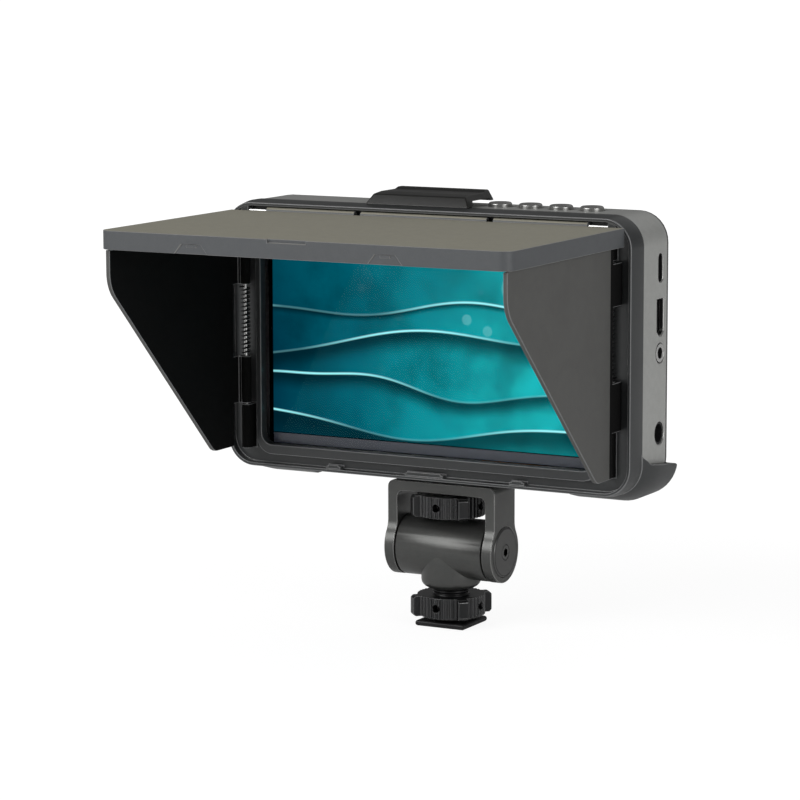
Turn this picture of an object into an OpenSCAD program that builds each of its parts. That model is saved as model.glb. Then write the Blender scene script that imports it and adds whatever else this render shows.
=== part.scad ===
// Camera field monitor with a folding sun hood, on a tilting shoe mount.
// Millimetres. X is to the right of someone who faces the screen, Y to the back, Z up.
// The origin is the middle of the shoe foot's underside, which is also on the swivel axis.

/* [Display] */
// Diagonal of the 16:9 picture
screen_diagonal = 139.7; // [130:0.1:150]
// Picture centre above the middle of the body
screen_rise = 0.35; // [-0.5:0.05:1]
// Display panel beside and above the picture
lcd_border = 1.6; // [1:0.1:2]
// Display panel below the picture, where its driver chips are
lcd_foot = 4; // [2:0.5:5]
// Cover glass thickness
glass_t = 0.9; // [0.6:0.1:1.2]
// Display panel thickness
lcd_t = 1.6; // [1:0.1:2.2]
// Glass face behind the hood's front face
glass_setback = 4; // [3.8:0.1:4.6]

/* [Monitor body] */
// Sides of the housing in from the hood frame's sides
body_inset_x = 0.3; // [0.1:0.05:0.6]
// Top and bottom of the housing in from the hood frame's
body_inset_z = 0.2; // [0.1:0.05:0.4]
// Depth of the housing behind the hood frame
body_depth = 21.7; // [20:0.1:26]
// Corner radius of the housing, seen from the front
body_corner_r = 10.2; // [9.5:0.1:11]
// Wall of the housing
wall_t = 2; // [1.6:0.1:2.4]
// Front wall that the nose stands on
front_wall_t = 1.6; // [1.2:0.1:2.5]
// Lip of the nose round the glass
nose_lip_t = 1.2; // [0.8:0.1:1.6]
// Ledge of the nose behind the glass edge
glass_ledge = 1.8; // [1.2:0.1:2.4]
// Thickness of the rear cover's rim
rear_cover_t = 2.4; // [2:0.1:3.5]
// Bevel round the back of the rear cover
rear_bevel = 1.6; // [0.8:0.1:1.8]
// Outer diameter of the corner bosses for the case screws
case_boss_d = 6.2; // [5.6:0.1:7]
// Boss centres in from the housing's sides
case_boss_inset = 6.2; // [5.8:0.1:6.6]
// Length of the corner bosses
case_boss_len = 11; // [8:0.5:13]
// Case screw thread diameter
case_screw_d = 2.5; // [2:0.1:3]
// Case screw head diameter
case_head_d = 4.6; // [4:0.1:5]
// Case screw head height
case_head_h = 1.4; // [1:0.1:1.6]
// Case screw length under the head
case_screw_len = 8; // [5:0.5:10]
// Cross recess of the case screws: length, width and depth
cross_len = 2.6; // [2:0.1:3]
cross_w = 0.6; // [0.4:0.1:0.8]
cross_depth = 0.8; // [0.5:0.1:1]
// Rows of vent slots in the rear cover, in from its top and bottom
vent_inset = 8.1; // [7.5:0.1:9]
// Number of slots in a row
vent_count = 9; // [5:1:11]
// Distance from slot to slot
vent_pitch = 6; // [5:0.5:7]
// Slot width and height
vent_w = 2; // [1:0.1:2.4]
vent_h = 5; // [3:0.5:6]
// Raised pad under the housing that the mount clamps against, width
foot_pad_w = 44; // [36:1:60]
// The same pad, depth
foot_pad_depth = 14; // [12:0.5:14]
// The same pad, height
foot_pad_t = 1.3; // [0.8:0.05:1.6]

/* [Inside the monitor] */
// Metal plate behind the display
mid_plate_t = 0.8; // [0.6:0.1:1.2]
// Gap from the plate's edge to the housing wall
mid_plate_gap = 0.6; // [0.3:0.1:1]
// Height of the plate's posts that carry the main board
board_post_h = 7.5; // [6:0.1:8.5]
// Diameter of those posts
board_post_d = 5; // [4:0.5:7]
// Main board width
board_w = 128; // [110:1:132]
// Main board height
board_h = 62; // [50:1:66]
// Main board's right edge, from the housing's outside
board_edge_inset = 7.5; // [7:0.1:8.5]
// Circuit board thickness
board_t = 1.6; // [1:0.1:2]
// Heat spreader on the main board: width
heat_w = 52; // [30:1:60]
// Heat spreader height
heat_h = 38; // [25:1:46]
// Heat spreader base thickness
heat_base_t = 1.5; // [1:0.1:2]
// Heat spreader fin height above its base
heat_fin_h = 3; // [2:0.5:4]
// Heat spreader fin thickness
heat_fin_t = 1.2; // [0.8:0.1:1.6]
// Number of fins
heat_fins = 9; // [5:1:12]
// Ribbon cable, right of the middle
ribbon_x = 30; // [22:1:40]
// Ribbon cable width
ribbon_w = 22; // [12:1:26]
// Ribbon cable thickness
ribbon_t = 0.3; // [0.2:0.05:0.5]
// Ribbon cable above the lower edge of the display's bay
ribbon_inset = 1.2; // [1:0.1:1.6]
// Screw holes of the main board, in from its edges
board_hole_inset = 5; // [4:0.5:7]
// Board screw diameter
board_screw_d = 2; // [1.6:0.1:2.4]
// Middle of the heat spreader, from the middle of the body
heat_x = -10; // [-14:1:0]

/* [Buttons] */
// Number of buttons along the top
button_count = 4; // [4:1:4]
// Distance from button to button
button_pitch = 11.3; // [10.5:0.1:12]
// Centre of the first button, from the middle of the body
button_first_x = 19; // [16:0.5:22]
// Button line behind the hood's front face
button_setback = 20; // [18:0.5:22]
// Button cap diameter
button_d = 8; // [6:0.1:9]
// Cap height above the housing
button_proud = 1.5; // [1:0.1:2.5]
// Gap round each cap
button_gap = 0.15; // [0.1:0.05:0.3]
// How far a button goes in
button_travel = 0.5; // [0.3:0.1:0.6]
// Flange under each cap, wider than its hole by this much a side
button_flange = 0.8; // [0.5:0.1:1]
// Flange thickness
button_flange_t = 0.8; // [0.6:0.1:1]
// Stem below the flange
button_stem_d = 2.4; // [2:0.1:3]
// Stem length
button_stem_h = 1.6; // [1:0.1:2.5]
// Tact switch body side
switch_w = 6; // [4:0.5:7]
// Tact switch body height
switch_h = 2.6; // [2:0.1:4]
// Switch plunger diameter
plunger_d = 3.2; // [2:0.1:4]
// Switch plunger height
plunger_h = 0.8; // [0.5:0.1:1.2]
// Button board depth
button_board_depth = 10; // [8:0.5:11]
// Button board beside the outer switches
button_board_edge = 3; // [2:0.5:4]
// Free gap between a pressed key's stem and its switch
switch_gap = 0.1; // [0.05:0.05:0.3]
// Bevel round the top of each cap
button_rim = 0.5; // [0.3:0.1:0.8]

/* [Ports] */
// Port line behind the hood's front face
port_setback = 22.7; // [22.2:0.1:23.4]
// USB-C centre above the middle of the body
usb_z = 28.1; // [27:0.1:28.4]
// USB-C opening, long side
usb_w = 9.4; // [9:0.1:10]
// USB-C opening, short side
usb_t = 3.6; // [3.2:0.1:4]
// HDMI centre above the middle of the body
hdmi_z = 11.7; // [11:0.1:12.4]
// HDMI opening, long side
hdmi_w = 12; // [11.4:0.1:12.6]
// HDMI opening, short side
hdmi_t = 5.4; // [4.6:0.1:5.4]
// Headphone jack centre above the middle of the body
jack_z = -0.2; // [-1:0.1:0.6]
// Headphone plug bore
jack_bore_d = 3.6; // [3.5:0.05:3.8]
// Metal ring round the headphone bore
jack_ring_d = 6.4; // [5.4:0.1:7]
// Length of the headphone bore
jack_depth = 14; // [12:0.5:15]
// DC jack centre above the middle of the body
dc_z = -27; // [-29:0.1:-26]
// DC jack opening
dc_bore_d = 6.2; // [5.6:0.1:6.8]
// DC jack centre pin
dc_pin_d = 2; // [1.6:0.1:2.5]
// Ring round the DC opening
dc_ring_t = 0.5; // [0.4:0.1:0.7]
// DC ring and pin behind the housing's face
dc_setback = 0.4; // [0.2:0.1:0.8]
dc_pin_setback = 2; // [1:0.5:3]
// Depth of the port bodies behind the housing wall
port_depth = 9; // [7:0.5:12]
// Gap between a port's shell and its opening
port_fit = 0.2; // [0.1:0.05:0.3]
// Thickness of a port's shell
port_shell_t = 0.3; // [0.2:0.05:0.4]
// Closed end of a port
port_back_t = 1.5; // [1:0.1:2]
// Contact tongues: behind the shell's mouth
tongue_setback = 0.8; // [0.4:0.1:1.5]
// USB-C tongue: thickness and width
usb_tongue_t = 0.7; // [0.6:0.05:0.8]
usb_tongue_w = 6.8; // [6.4:0.1:7]
// HDMI tongue: thickness and width
hdmi_tongue_t = 0.9; // [0.8:0.05:1.2]
hdmi_tongue_w = 8; // [7:0.1:8.6]
// Legs that carry the ports on the board: behind the mouth, and in from the shell's ends
port_leg_setback = 2.5; // [2:0.5:4]
port_leg_inset = 2; // [1.5:0.1:3]
// Half thickness of the jack's block, behind the port line
jack_block_t = 2.6; // [2.4:0.1:3]

/* [Battery plate] */
// Battery plate width
battery_plate_w = 40; // [38:0.5:44]
// Battery plate height
battery_plate_h = 62; // [56:1:68]
// Battery plate base thickness
battery_base_t = 2; // [1.6:0.1:3]
// Height of the battery rails above the base
battery_rail_h = 3; // [2.5:0.1:4]
// Rail thickness
battery_rail_t = 2.4; // [2:0.1:3]
// Corner radius of the battery plate
battery_corner_r = 2; // [1:0.5:4]
// Rail ends in from the plate's ends
battery_rail_end = 2; // [1:0.5:4]
// Hooks on the rails: how far they stand in, their thickness, length and lower ends
hook_in = 1.4; // [1:0.1:2]
hook_t = 1.1; // [0.8:0.1:1.5]
hook_len = 10; // [8:0.5:12]
hook_zs = [-18, 6];
// Contact block at the top of the plate: width, height and distance from the top
contact_block_w = 18; // [15:0.5:22]
contact_block_h = 7; // [6:0.5:9]
contact_block_inset = 1; // [0.5:0.5:3]
// Contacts: number, distance from one to the next, width and the groove that each lies in
contact_count = 3; // [2:1:3]
contact_pitch = 5; // [4:0.5:6]
contact_w = 0.8; // [0.6:0.1:1]
contact_groove_w = 1.2; // [1.1:0.1:1.5]
// Free end of a contact below the contact block
contact_reach = 4; // [2:0.5:6]
// Contacts above the plate's base, and below the block's top
contact_rise = 0.8; // [0.5:0.1:1]
contact_drop = 0.5; // [0.3:0.1:1]
// Play round the latch button
latch_play = 0.3; // [0.2:0.05:0.5]
// Bottom of the latch's pocket above the plate's back
latch_floor = 0.6; // [0.4:0.1:1]
// Latch button above the plate's face, and its grip ridges above that
latch_proud = 0.8; // [0.5:0.1:1.2]
latch_ridge_h = 0.5; // [0.3:0.1:0.8]
// Ridge width, and distance from ridge to ridge
latch_ridge_w = 0.7; // [0.5:0.1:1]
latch_ridge_pitch = 1.6; // [1.2:0.1:2]
// Latch button width
latch_w = 9; // [7:0.5:12]
// Latch button height
latch_h = 7; // [5:0.5:9]
// Latch travel
latch_travel = 2; // [1:0.1:2.5]

/* [Hood frame] */
// Hood frame beside the picture, each side
hood_side = 16.12; // [16:0.02:17]
// Hood frame above and below the picture
hood_over = 12.1; // [12:0.05:12.8]
// Hood frame depth
hood_depth = 8.7; // [8:0.1:9.5]
// Hood frame corner radius
hood_corner_r = 10.5; // [9.8:0.1:11.4]
// Wall round the monitor's nose
hood_wall = 2.2; // [1.8:0.1:2.6]
// Gap between hood and nose
hood_fit = 0.2; // [0.1:0.05:0.3]
// Window edge in from the hood frame's sides
window_side = 14; // [13.6:0.1:15]
// Window edge in from the hood frame's top and bottom
window_over = 8.55; // [8.2:0.05:9]
// Window corner radius
window_r = 4; // [2:0.5:6]
// Width of the raised band beside the window
band_side = 2; // [1.5:0.1:2.4]
// Width of the raised band above and below the window
band_over = 3.4; // [3:0.1:3.5]
// Outer rim width
rim_t = 1.8; // [1.5:0.1:2]
// Taper of the rim's outside toward the front, and its depth
rim_taper = 0.7; // [0.3:0.1:0.9]
rim_taper_len = 4.5; // [3:0.5:6]
// Depth of the channel between band and rim
channel_depth = 3; // [2.9:0.05:3.05]
// Ears of the top hinge behind the hood's front face
ear_setback = 0.2; // [0.1:0.1:0.5]
// Cradles start inside the hood frame by this much
cradle_root = 1.2; // [0.8:0.1:2]
// Corner cradle wall
cradle_t = 3.2; // [2:0.1:3.6]
// Cradle reach toward the middle
cradle_reach = 20; // [14:1:26]
// Cradle height up the side
cradle_rise = 8; // [7:0.5:12]
// Cradle lip over the back edge, and its thickness
cradle_lip = 3.5; // [2:0.5:5]
cradle_lip_t = 1.8; // [1.4:0.1:2.2]
// How much the cradle's side rises from the back to the foot of its sweep
cradle_fall = 2.4; // [1:0.1:4]
// Height and depth of the sweep up to the frame
cradle_sweep_h = 3.6; // [3:0.1:6]
cradle_sweep_len = 3; // [2:0.1:5]
// Rounding of the cradle's upper back corner, and of its back edge
cradle_corner_r = 5; // [2:0.5:5.5]
cradle_edge_r = 1.8; // [1:0.1:2.2]
// Depth over which the cradle swells out of the frame's side
cradle_swell = 8; // [5:0.5:10]
// Snap catches, distance from the middle
catch_x = 35; // [30:0.5:40]
// Snap catch width
catch_w = 5.6; // [4:0.2:7]
// Middle catch width
tongue_w = 14.5; // [12:0.5:17]
// Catches above the channel's outer wall: the ledge and the hook on it
catch_h = 1; // [0.8:0.1:1.2]
catch_hook_h = 0.5; // [0.3:0.1:0.6]
// Catches behind the hood's front face, and the hook's depth
catch_setback = 0.5; // [0.4:0.1:0.8]
catch_hook_t = 1; // [0.8:0.1:1.5]

/* [Top grip] */
// Middle of the grip along the hood
grip_x = -5; // [-10:0.5:10]
// Grip width at its root
grip_w = 38.5; // [30:0.5:44]
// Grip height above the hood frame
grip_h = 4.1; // [3.6:0.1:5]
// Grip blade thickness
grip_t = 2.1; // [1.6:0.1:2.3]
// Grip reach behind the hood frame
grip_reach = 17; // [12:0.5:20]
// Raised lip at the grip's back edge: height and depth
grip_lip_h = 0.7; // [0.4:0.1:1.2]
grip_lip_t = 2.8; // [2:0.1:4]
// Taper of the grip's ends above their flared feet, and the height of those feet
grip_taper = 3; // [1:0.5:5]
grip_flare_h = 0.6; // [0.3:0.1:1]
// Grip's root behind the hood's front face
grip_root = 5; // [4:0.5:6]

/* [Hood panels] */
// Sides of the top panel in from the hood frame's sides
panel_inset = 3.05; // [2.9:0.05:3.25]
// Top panel length, in front of the hood frame
panel_len = 83.1; // [80:0.1:90]
// Panel thickness
panel_t = 1.5; // [1.2:0.1:1.6]
// Height of the skirt, panel included
skirt_h = 6.15; // [5.6:0.05:7]
// Skirt thickness
skirt_t = 1.3; // [1:0.1:1.4]
// Corner radius at the panel's front
panel_corner_r = 4.2; // [3:0.1:6]
// Top of the panel below the hood frame's top
panel_drop = 3.4; // [3.35:0.01:3.45]
// Snap recesses in the front skirt, from the middle: the left and the right one
snap_xs = [-39, 31];
// Snap recess: width at its foot and at its top, height and depth
snap_w = 13; // [10:0.5:15]
snap_top_w = 7; // [5:0.5:9]
snap_h = 3.2; // [2.5:0.1:3.8]
snap_depth = 0.4; // [0.3:0.1:0.8]
// Hook in each recess: width, height and its bottom above the skirt's edge
hook_w = 3.6; // [3:0.1:5]
hook_h = 0.8; // [0.5:0.1:1.2]
hook_low = 2.2; // [1.8:0.1:2.3]
// Finger notch in the skirt's upper edge: left end, right end, height and depth
notch_xs = [-11, 3];
notch_h = 1.2; // [0.8:0.1:1.5]
notch_depth = 0.9; // [0.5:0.1:1.1]
// Two slots in the hinge barrel: distance from the middle and width
barrel_slot_x = 25; // [20:1:30]
barrel_slot_w = 2.4; // [1.5:0.1:4]
// Web from the panel to its barrel, below the panel's top by this much more than the panel
web_rise = 0.15; // [0.1:0.05:0.3]
// How far the panel lifts above level
panel_lift = 12; // [0:1:15]
// Side flap thickness
flap_t = 1.5; // [1.2:0.1:1.6]
// Side flap front edge behind the panel's front
flap_setback = 1.7; // [1.7:0.1:8]
// Rear edge of the side flaps in front of the frame, between their barrels
flap_rear = 5; // [3:0.5:6]
// Notch of the flap's front edge inside the skirt
flap_notch = 1.6; // [1.6:0.1:3]
// Height of the flap's full depth, below its top edge
flap_front_h = 17; // [10:0.5:30]
// Length of the flap's bottom edge in front of the hinge
flap_foot_len = 17.5; // [10:0.5:30]
// Bottom edge of the flaps below the middle of the body
flap_bottom = 38.5; // [38:0.1:39]
// Rounding of the flap's front corner
flap_corner_r = 12; // [4:0.5:16]
// Rounding at the front end of the flap's bottom edge
flap_foot_r = 5; // [2:0.5:8]
// Gap between moving hood pieces
hood_gap = 0.35; // [0.3:0.05:0.4]

/* [Hinges] */
// Top hinge barrel radius
top_barrel_r = 1.3; // [1.2:0.02:1.32]
// Top hinge axis behind the hood's front face
top_axis_y = 1.25; // [1.2:0.05:1.3]
// Ends of the panel's hinge barrel in from the hood frame's sides
top_barrel_inset = 16.5; // [15:0.5:22]
// Inner faces of the hood's ears for the top hinge, in from its sides
top_ear_inset = 9.3; // [9:0.1:11]
// Width of those ears
top_ear_w = 2.9; // [2.6:0.1:3]
// Hinge pin diameter
pin_d = 1.4; // [1.2:0.1:1.6]
// Length of a top pin inside the panel's barrel
top_pin_in = 8; // [5:0.5:12]
// Running clearance of a pin in its barrel, each side
pin_clearance = 0.05; // [0.02:0.01:0.08]
// Side hinge barrel radius
side_barrel_r = 1.7; // [1.5:0.05:1.75]
// Side hinge axes in from the hood frame's sides
side_axis_inset = 8.6; // [8.4:0.1:8.8]
// Gap between a side barrel and the channel floor
barrel_gap = 0.3; // [0.25:0.05:0.35]
// The left flap's hinge is this far in front of the right one, so that the flaps fold over each other
flap_stagger = 1.8; // [1.8:0.05:2]
// Distance from a flap's hinge axis to its inner face
flap_offset = 2.4; // [2.3:0.05:2.45]
// Upper hood knuckle: top and bottom, above the middle of the body
knuckle_top = 37; // [36:0.1:38]
knuckle_bottom = 32; // [30:0.1:33]
// Spring: top and bottom, above the middle of the body
spring_top = 17.2; // [14:0.1:19]
spring_bottom = -7; // [-9:0.1:-5]
// Lower hood post: top and bottom, above the middle of the body
post_top = -24; // [-26:0.1:-22]
post_bottom = -39.5; // [-40:0.1:-36]
// Spring wire diameter
spring_wire = 0.6; // [0.5:0.05:0.7]
// Mean radius of the spring's turns
spring_r = 1.4; // [1.3:0.05:1.45]
// Number of turns
spring_turns = 16; // [12:1:18]

/* [Shoe foot] */
// Foot width, across the shoe
foot_w = 18.6; // [18:0.1:18.8]
// Foot length, along the shoe
foot_len = 18; // [17:0.1:18.6]
// Foot thickness
foot_t = 2; // [1.8:0.05:2.1]
// Bevel of the foot's edges
foot_bevel = 0.5; // [0.2:0.1:0.8]
// Neck between the foot and the thread
foot_neck_d = 11.6; // [10:0.1:12]
// Gap between the foot and the clamp washer
shoe_gap = 1; // [0.8:0.1:1.2]
// Clamp washer thickness
washer_t = 0.6; // [0.4:0.1:0.8]
// Clamp washer diameter
washer_d = 20; // [18:0.5:22]

/* [Lock wheels] */
// Reach of the wheels' four ears
wheel_ear_r = 14.2; // [13.2:0.1:14.3]
// Ear width
wheel_ear_w = 3.6; // [3:0.1:5]
// Radius of the wheels between the ribs
wheel_core_r = 11.3; // [11:0.1:12.2]
// Number of ribs on a whole wheel
wheel_ribs = 44; // [28:4:48]
// Rib height above the core
wheel_rib_h = 0.4; // [0.3:0.1:0.8]
// Rib width
wheel_rib_w = 0.9; // [0.7:0.1:1.2]
// Bevel of the wheels' edges
wheel_bevel = 0.8; // [0.4:0.1:1]
// Key holes in the wheels' rims
wheel_hole_d = 2.8; // [2:0.1:3.4]
// Depth of the key holes
wheel_hole_depth = 3.5; // [2.5:0.5:4]
// Lower wheel thickness
lower_wheel_h = 7.1; // [6:0.1:7.2]
// Upper wheel thickness
upper_wheel_h = 7.4; // [6.5:0.1:7.6]
// Gap between the barrel and the upper wheel
upper_wheel_gap = 1; // [0.8:0.1:1.1]
// Thread pitch of the lower wheel, which is also its travel in one turn
stem_pitch = 1.5; // [1:0.1:1.5]
// Stem thread diameter
stem_d = 12.8; // [12.2:0.1:13.2]
// Depth of the thread grooves that show
thread_depth = 0.5; // [0.3:0.05:0.7]

/* [Tilt mount] */
// Tilt axis above the foot's underside
pivot_z = 26.8; // [26.6:0.1:30]
// Tilt barrel radius
barrel_r = 10.5; // [9.8:0.1:10.6]
// Bottom of the barrel's shoulder below the barrel
shoulder_drop = 3.4; // [3.3:0.1:4]
// Height of the bowl that rounds the shoulder off onto the stem
bowl_h = 3; // [2:0.1:4]
// Yoke width
yoke_w = 41.1; // [38:0.1:44]
// Yoke depth
yoke_depth = 15.5; // [14:0.1:17]
// Yoke arm and bridge thickness
yoke_t = 3.7; // [3.2:0.1:4]
// Top of the yoke above the tilt axis
yoke_rise = 23.2; // [23:0.1:25]
// Radius of the arms' round ends
arm_end_r = 10.6; // [9.9:0.1:11]
// Blend between an arm and its round end
arm_blend_r = 8; // [4:0.5:12]
// Rounding of the yoke's upper corners
yoke_corner_r = 2.4; // [1:0.1:3]
// Rounding of the window's upper corners
yoke_window_r = 2.2; // [1:0.1:3]
// Rubber pad on the yoke
pad_t = 1.3; // [0.8:0.1:1.6]
// Pad's long edges in from the yoke's
pad_inset = 0.5; // [0.2:0.1:1]
// Pad's corner radius
pad_corner_r = 2; // [1:0.5:4]
// Friction washers between barrel and arms
friction_t = 0.5; // [0.3:0.1:0.8]
// Friction washer diameter
friction_d = 16; // [12:0.5:18]
// Side clearance of what turns or tilts
turn_gap = 0.05; // [0.03:0.01:0.08]
// Pivot shaft diameter
shaft_d = 7; // [6:0.1:8]
// Pivot cap diameter
cap_d = 17.3; // [14:0.1:18]
// Depth of the cap's seat in the arm
cap_seat = 1.4; // [1:0.1:1.8]
// Cap height above the arm
cap_proud = 0.4; // [0.2:0.1:0.8]
// Pivot screw head diameter
pivot_head_d = 5.2; // [4.5:0.1:6]
// Pivot screw thread diameter
pivot_screw_d = 3; // [2.5:0.1:4]
// Pivot screw length in the shaft
pivot_screw_len = 10; // [6:0.5:14]
// Hex socket across the flats
hex_socket = 2.5; // [2:0.1:3]
// Hex socket depth
hex_depth = 1.2; // [0.8:0.1:1.4]
// Camera screw thread diameter, a quarter inch
camera_screw_d = 6.35; // [6.3:0.05:6.4]
// Camera screw length above the yoke
camera_screw_up = 6; // [5:0.1:6.5]
// Height of the camera screw's hex head, across its flats 11
camera_head_h = 3.5; // [2.5:0.1:4]
camera_head_flats = 11; // [10:0.1:12]
// Threaded insert in the housing, outer diameter
insert_d = 10; // [9:0.1:11]
// Insert length
insert_len = 8; // [7.5:0.1:9]
// Wall of the housing round the insert
insert_wall = 2.5; // [2:0.1:3]

/* [Hidden] */
$fn = 64;
// A little more than nothing, so that cuts run past the faces that they open
cut = 0.5;
// Overlap of the pieces that make up one solid
join = 0.2;
// Play round a port, a screw head or a screw in its hole
port_gap = 0.1;
// How far the arms' hollow arcs pass into the round ends, so that the two cross rather than touch
blend_overlap = 0.02;

// The picture, and the outlines that follow from it
picture_w = screen_diagonal * 16 / sqrt(16 * 16 + 9 * 9);
picture_h = screen_diagonal * 9 / sqrt(16 * 16 + 9 * 9);
hood_w = picture_w + 2 * hood_side;
hood_h = picture_h + 2 * hood_over;
body_w = hood_w - 2 * body_inset_x;
body_h = hood_h - 2 * body_inset_z;

// The hood's front face, the seam behind the hood frame and the back of the housing
front_y = -20.8;
seam_y = front_y + hood_depth;
back_y = seam_y + body_depth;
cover_y = back_y - rear_cover_t;
glass_y = front_y + glass_setback;
plate_y = seam_y + front_wall_t;
board_y = plate_y + mid_plate_t + board_post_h;
board_face_y = board_y + board_t;

// Heights in the mount
yoke_top_z = pivot_z + yoke_rise;
pad_top_z = yoke_top_z + pad_t;
foot_pad_z = pad_top_z + turn_gap;
body_bottom_z = foot_pad_z + foot_pad_t;
centre_z = body_bottom_z + body_h / 2;
washer_z = foot_t + shoe_gap;
lower_wheel_z = washer_z + washer_t + turn_gap;
upper_wheel_z = pivot_z + barrel_r + upper_wheel_gap;
shoulder_z = pivot_z - barrel_r - shoulder_drop;
yoke_inner_w = yoke_w - 2 * yoke_t;
barrel_len = yoke_inner_w - 2 * friction_t - 4 * turn_gap;
bowl_w = barrel_r - stem_d / 2 - join;

// The display, the nose round it and the housing's inside
lcd_w = picture_w + 2 * lcd_border;
lcd_h = picture_h + lcd_border + lcd_foot;
lcd_z = screen_rise + (lcd_border - lcd_foot) / 2;
nose_w = hood_w - 2 * hood_wall - 2 * hood_fit;
nose_h = hood_h - 2 * hood_wall - 2 * hood_fit;
nose_r = hood_corner_r - hood_wall - hood_fit;
glass_fit = 0.1;
glass_w = nose_w - 2 * nose_lip_t - 2 * glass_fit;
glass_h = nose_h - 2 * nose_lip_t - 2 * glass_fit;
glass_r = nose_r - nose_lip_t;
bay_w = glass_w - 2 * glass_ledge;
bay_h = glass_h - 2 * glass_ledge;
inner_w = body_w - 2 * wall_t;
inner_h = body_h - 2 * wall_t;
inner_r = body_corner_r - wall_t;
body_top = body_h / 2;
case_bore_end = 1;
side_x = body_w / 2;
board_mid_x = side_x - board_edge_inset - board_w / 2;
insert_block_h = insert_len - foot_pad_t + insert_wall;
ribbon_z = -bay_h / 2 + ribbon_inset;
ribbon_play = 1.2;

// Buttons
button_y = button_setback + front_y;
button_xs = [for (i = [0 : button_count - 1]) button_first_x + i * button_pitch];
button_mid_x = button_first_x + (button_count - 1) * button_pitch / 2;
button_board_w = (button_count - 1) * button_pitch + switch_w + 2 * button_board_edge;
button_inside_z = body_top - wall_t;
stem_bottom_z = button_inside_z - button_flange_t - button_stem_h;
plunger_top_z = stem_bottom_z - button_travel - switch_gap;
switch_z = plunger_top_z - plunger_h - switch_h;
tab_z = switch_z - board_t;

// Ports, which sit on the main board's back face
port_y = port_setback + front_y;
port_x = side_x - wall_t;
dc_ring_d = dc_bore_d + 2 * dc_ring_t;

// Battery contacts, from the middle of the plate
contact_xs = [for (i = [0 : contact_count - 1]) (i - (contact_count - 1) / 2) * contact_pitch];

// Hood
hood_top = hood_h / 2;
window_w = hood_w - 2 * window_side;
window_h = hood_h - 2 * window_over;
band_w = window_w + 2 * band_side;
band_h = window_h + 2 * band_over;
panel_w = hood_w - 2 * panel_inset;
panel_z = hood_top - panel_drop;
top_barrel_half = hood_w / 2 - top_barrel_inset;
top_ear_x = hood_w / 2 - top_ear_inset;
side_axis_x = hood_w / 2 - side_axis_inset;
flange_t = glass_setback - hood_fit;
channel_w = hood_w - 2 * rim_t;
channel_h = hood_h - 2 * rim_t;
channel_r = hood_corner_r - rim_t;
panel_under_z = panel_z - panel_t;
top_axis_z = panel_z - 0.1;
skirt_x = panel_w / 2 - skirt_t;
panel_back_y = -0.4;
flap_top = panel_under_z - hood_gap;
right_axis_y = channel_depth - barrel_gap - side_barrel_r;
left_axis_y = right_axis_y - flap_stagger;
flap_back = 1;
pin_bore_d = pin_d + 2 * pin_clearance;
pin_grip = 2.6;
pin_gap = 0.6;
skirt_low = panel_z - skirt_h;

// A unit vector
function unit(v) = v / norm(v);
// An angle between -180 and 180
function wrap(a) = a > 180 ? a - 360 : a < -180 ? a + 360 : a;
// The arc that rounds corner b of a path a, b, c with radius b[2], in this many steps
function arc_at(a, b, c, steps) =
    let (
        p = [b[0], b[1]],
        u = unit([a[0], a[1]] - p),
        v = unit([c[0], c[1]] - p),
        half = acos(u * v) / 2,
        centre = p + unit(u + v) * b[2] / sin(half),
        s = p + u * b[2] / tan(half) - centre,
        e = p + v * b[2] / tan(half) - centre,
        from = atan2(s[1], s[0]),
        turn = wrap(atan2(e[1], e[0]) - from)
    )
    [for (i = [0 : steps]) centre + b[2] * [cos(from + turn * i / steps), sin(from + turn * i / steps)]];
// A closed outline whose points are [x, y, rounding radius]
function rounded(points, steps = 8) =
    let (n = len(points))
    [for (i = [0 : n - 1])
        each points[i][2] == 0
            ? [[points[i][0], points[i][1]]]
            : arc_at(points[(i + n - 1) % n], points[i], points[(i + 1) % n], steps)];

// A flat outline in X and Z, as thick as from one Y to another
module along_y(from, to) {
    translate([0, to, 0]) rotate([90, 0, 0]) linear_extrude(to - from) children();
}
// A flat outline in Y and Z, as thick as from one X to another
module along_x(from, to) {
    translate([from, 0, 0]) rotate([90, 0, 90]) linear_extrude(to - from) children();
}
// A box between two corners
module block(low, high) {
    translate(low) cube(high - low);
}
// A rectangle with round corners, about the origin
module plate_2d(w, h, r) {
    square([w - 2 * r, h], center = true);
    square([w, h - 2 * r], center = true);
    for (x = [-1, 1], y = [-1, 1])
        translate([x * (w / 2 - r), y * (h / 2 - r)]) circle(r);
}
// A slot with round ends, standing on its long side
module slot_2d(w, h) {
    square([w, h - w], center = true);
    for (y = [-1, 1]) translate([0, y * (h - w) / 2]) circle(w / 2);
}
// Pieces of the monitor and hood are placed from the middle of the body
module at_body() {
    translate([0, 0, centre_z]) children();
}
// Pieces of the hood are placed from its front face
module at_hood() {
    translate([0, front_y, centre_z]) children();
}
// Both sides of what is the same on the left
module both_sides() {
    children();
    mirror([1, 0, 0]) children();
}

// ---- shoe foot and stem ----

module shoe_foot() {
    color("#2b2d30") {
        hull() {
            block([-foot_w / 2 + foot_bevel, -foot_len / 2 + foot_bevel, 0],
                  [foot_w / 2 - foot_bevel, foot_len / 2 - foot_bevel, foot_t]);
            block([-foot_w / 2, -foot_len / 2, foot_bevel], [foot_w / 2, foot_len / 2, foot_t - foot_bevel]);
        }
        translate([0, 0, foot_t - join]) cylinder(d = foot_neck_d, h = shoe_gap + join);
    }
}

module clamp_washer() {
    color("#1c1c1e") translate([0, 0, washer_z]) difference() {
        cylinder(d = washer_d, h = washer_t);
        translate([0, 0, -cut]) cylinder(d = stem_d + 2 * pin_clearance, h = washer_t + 2 * cut);
    }
}

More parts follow.
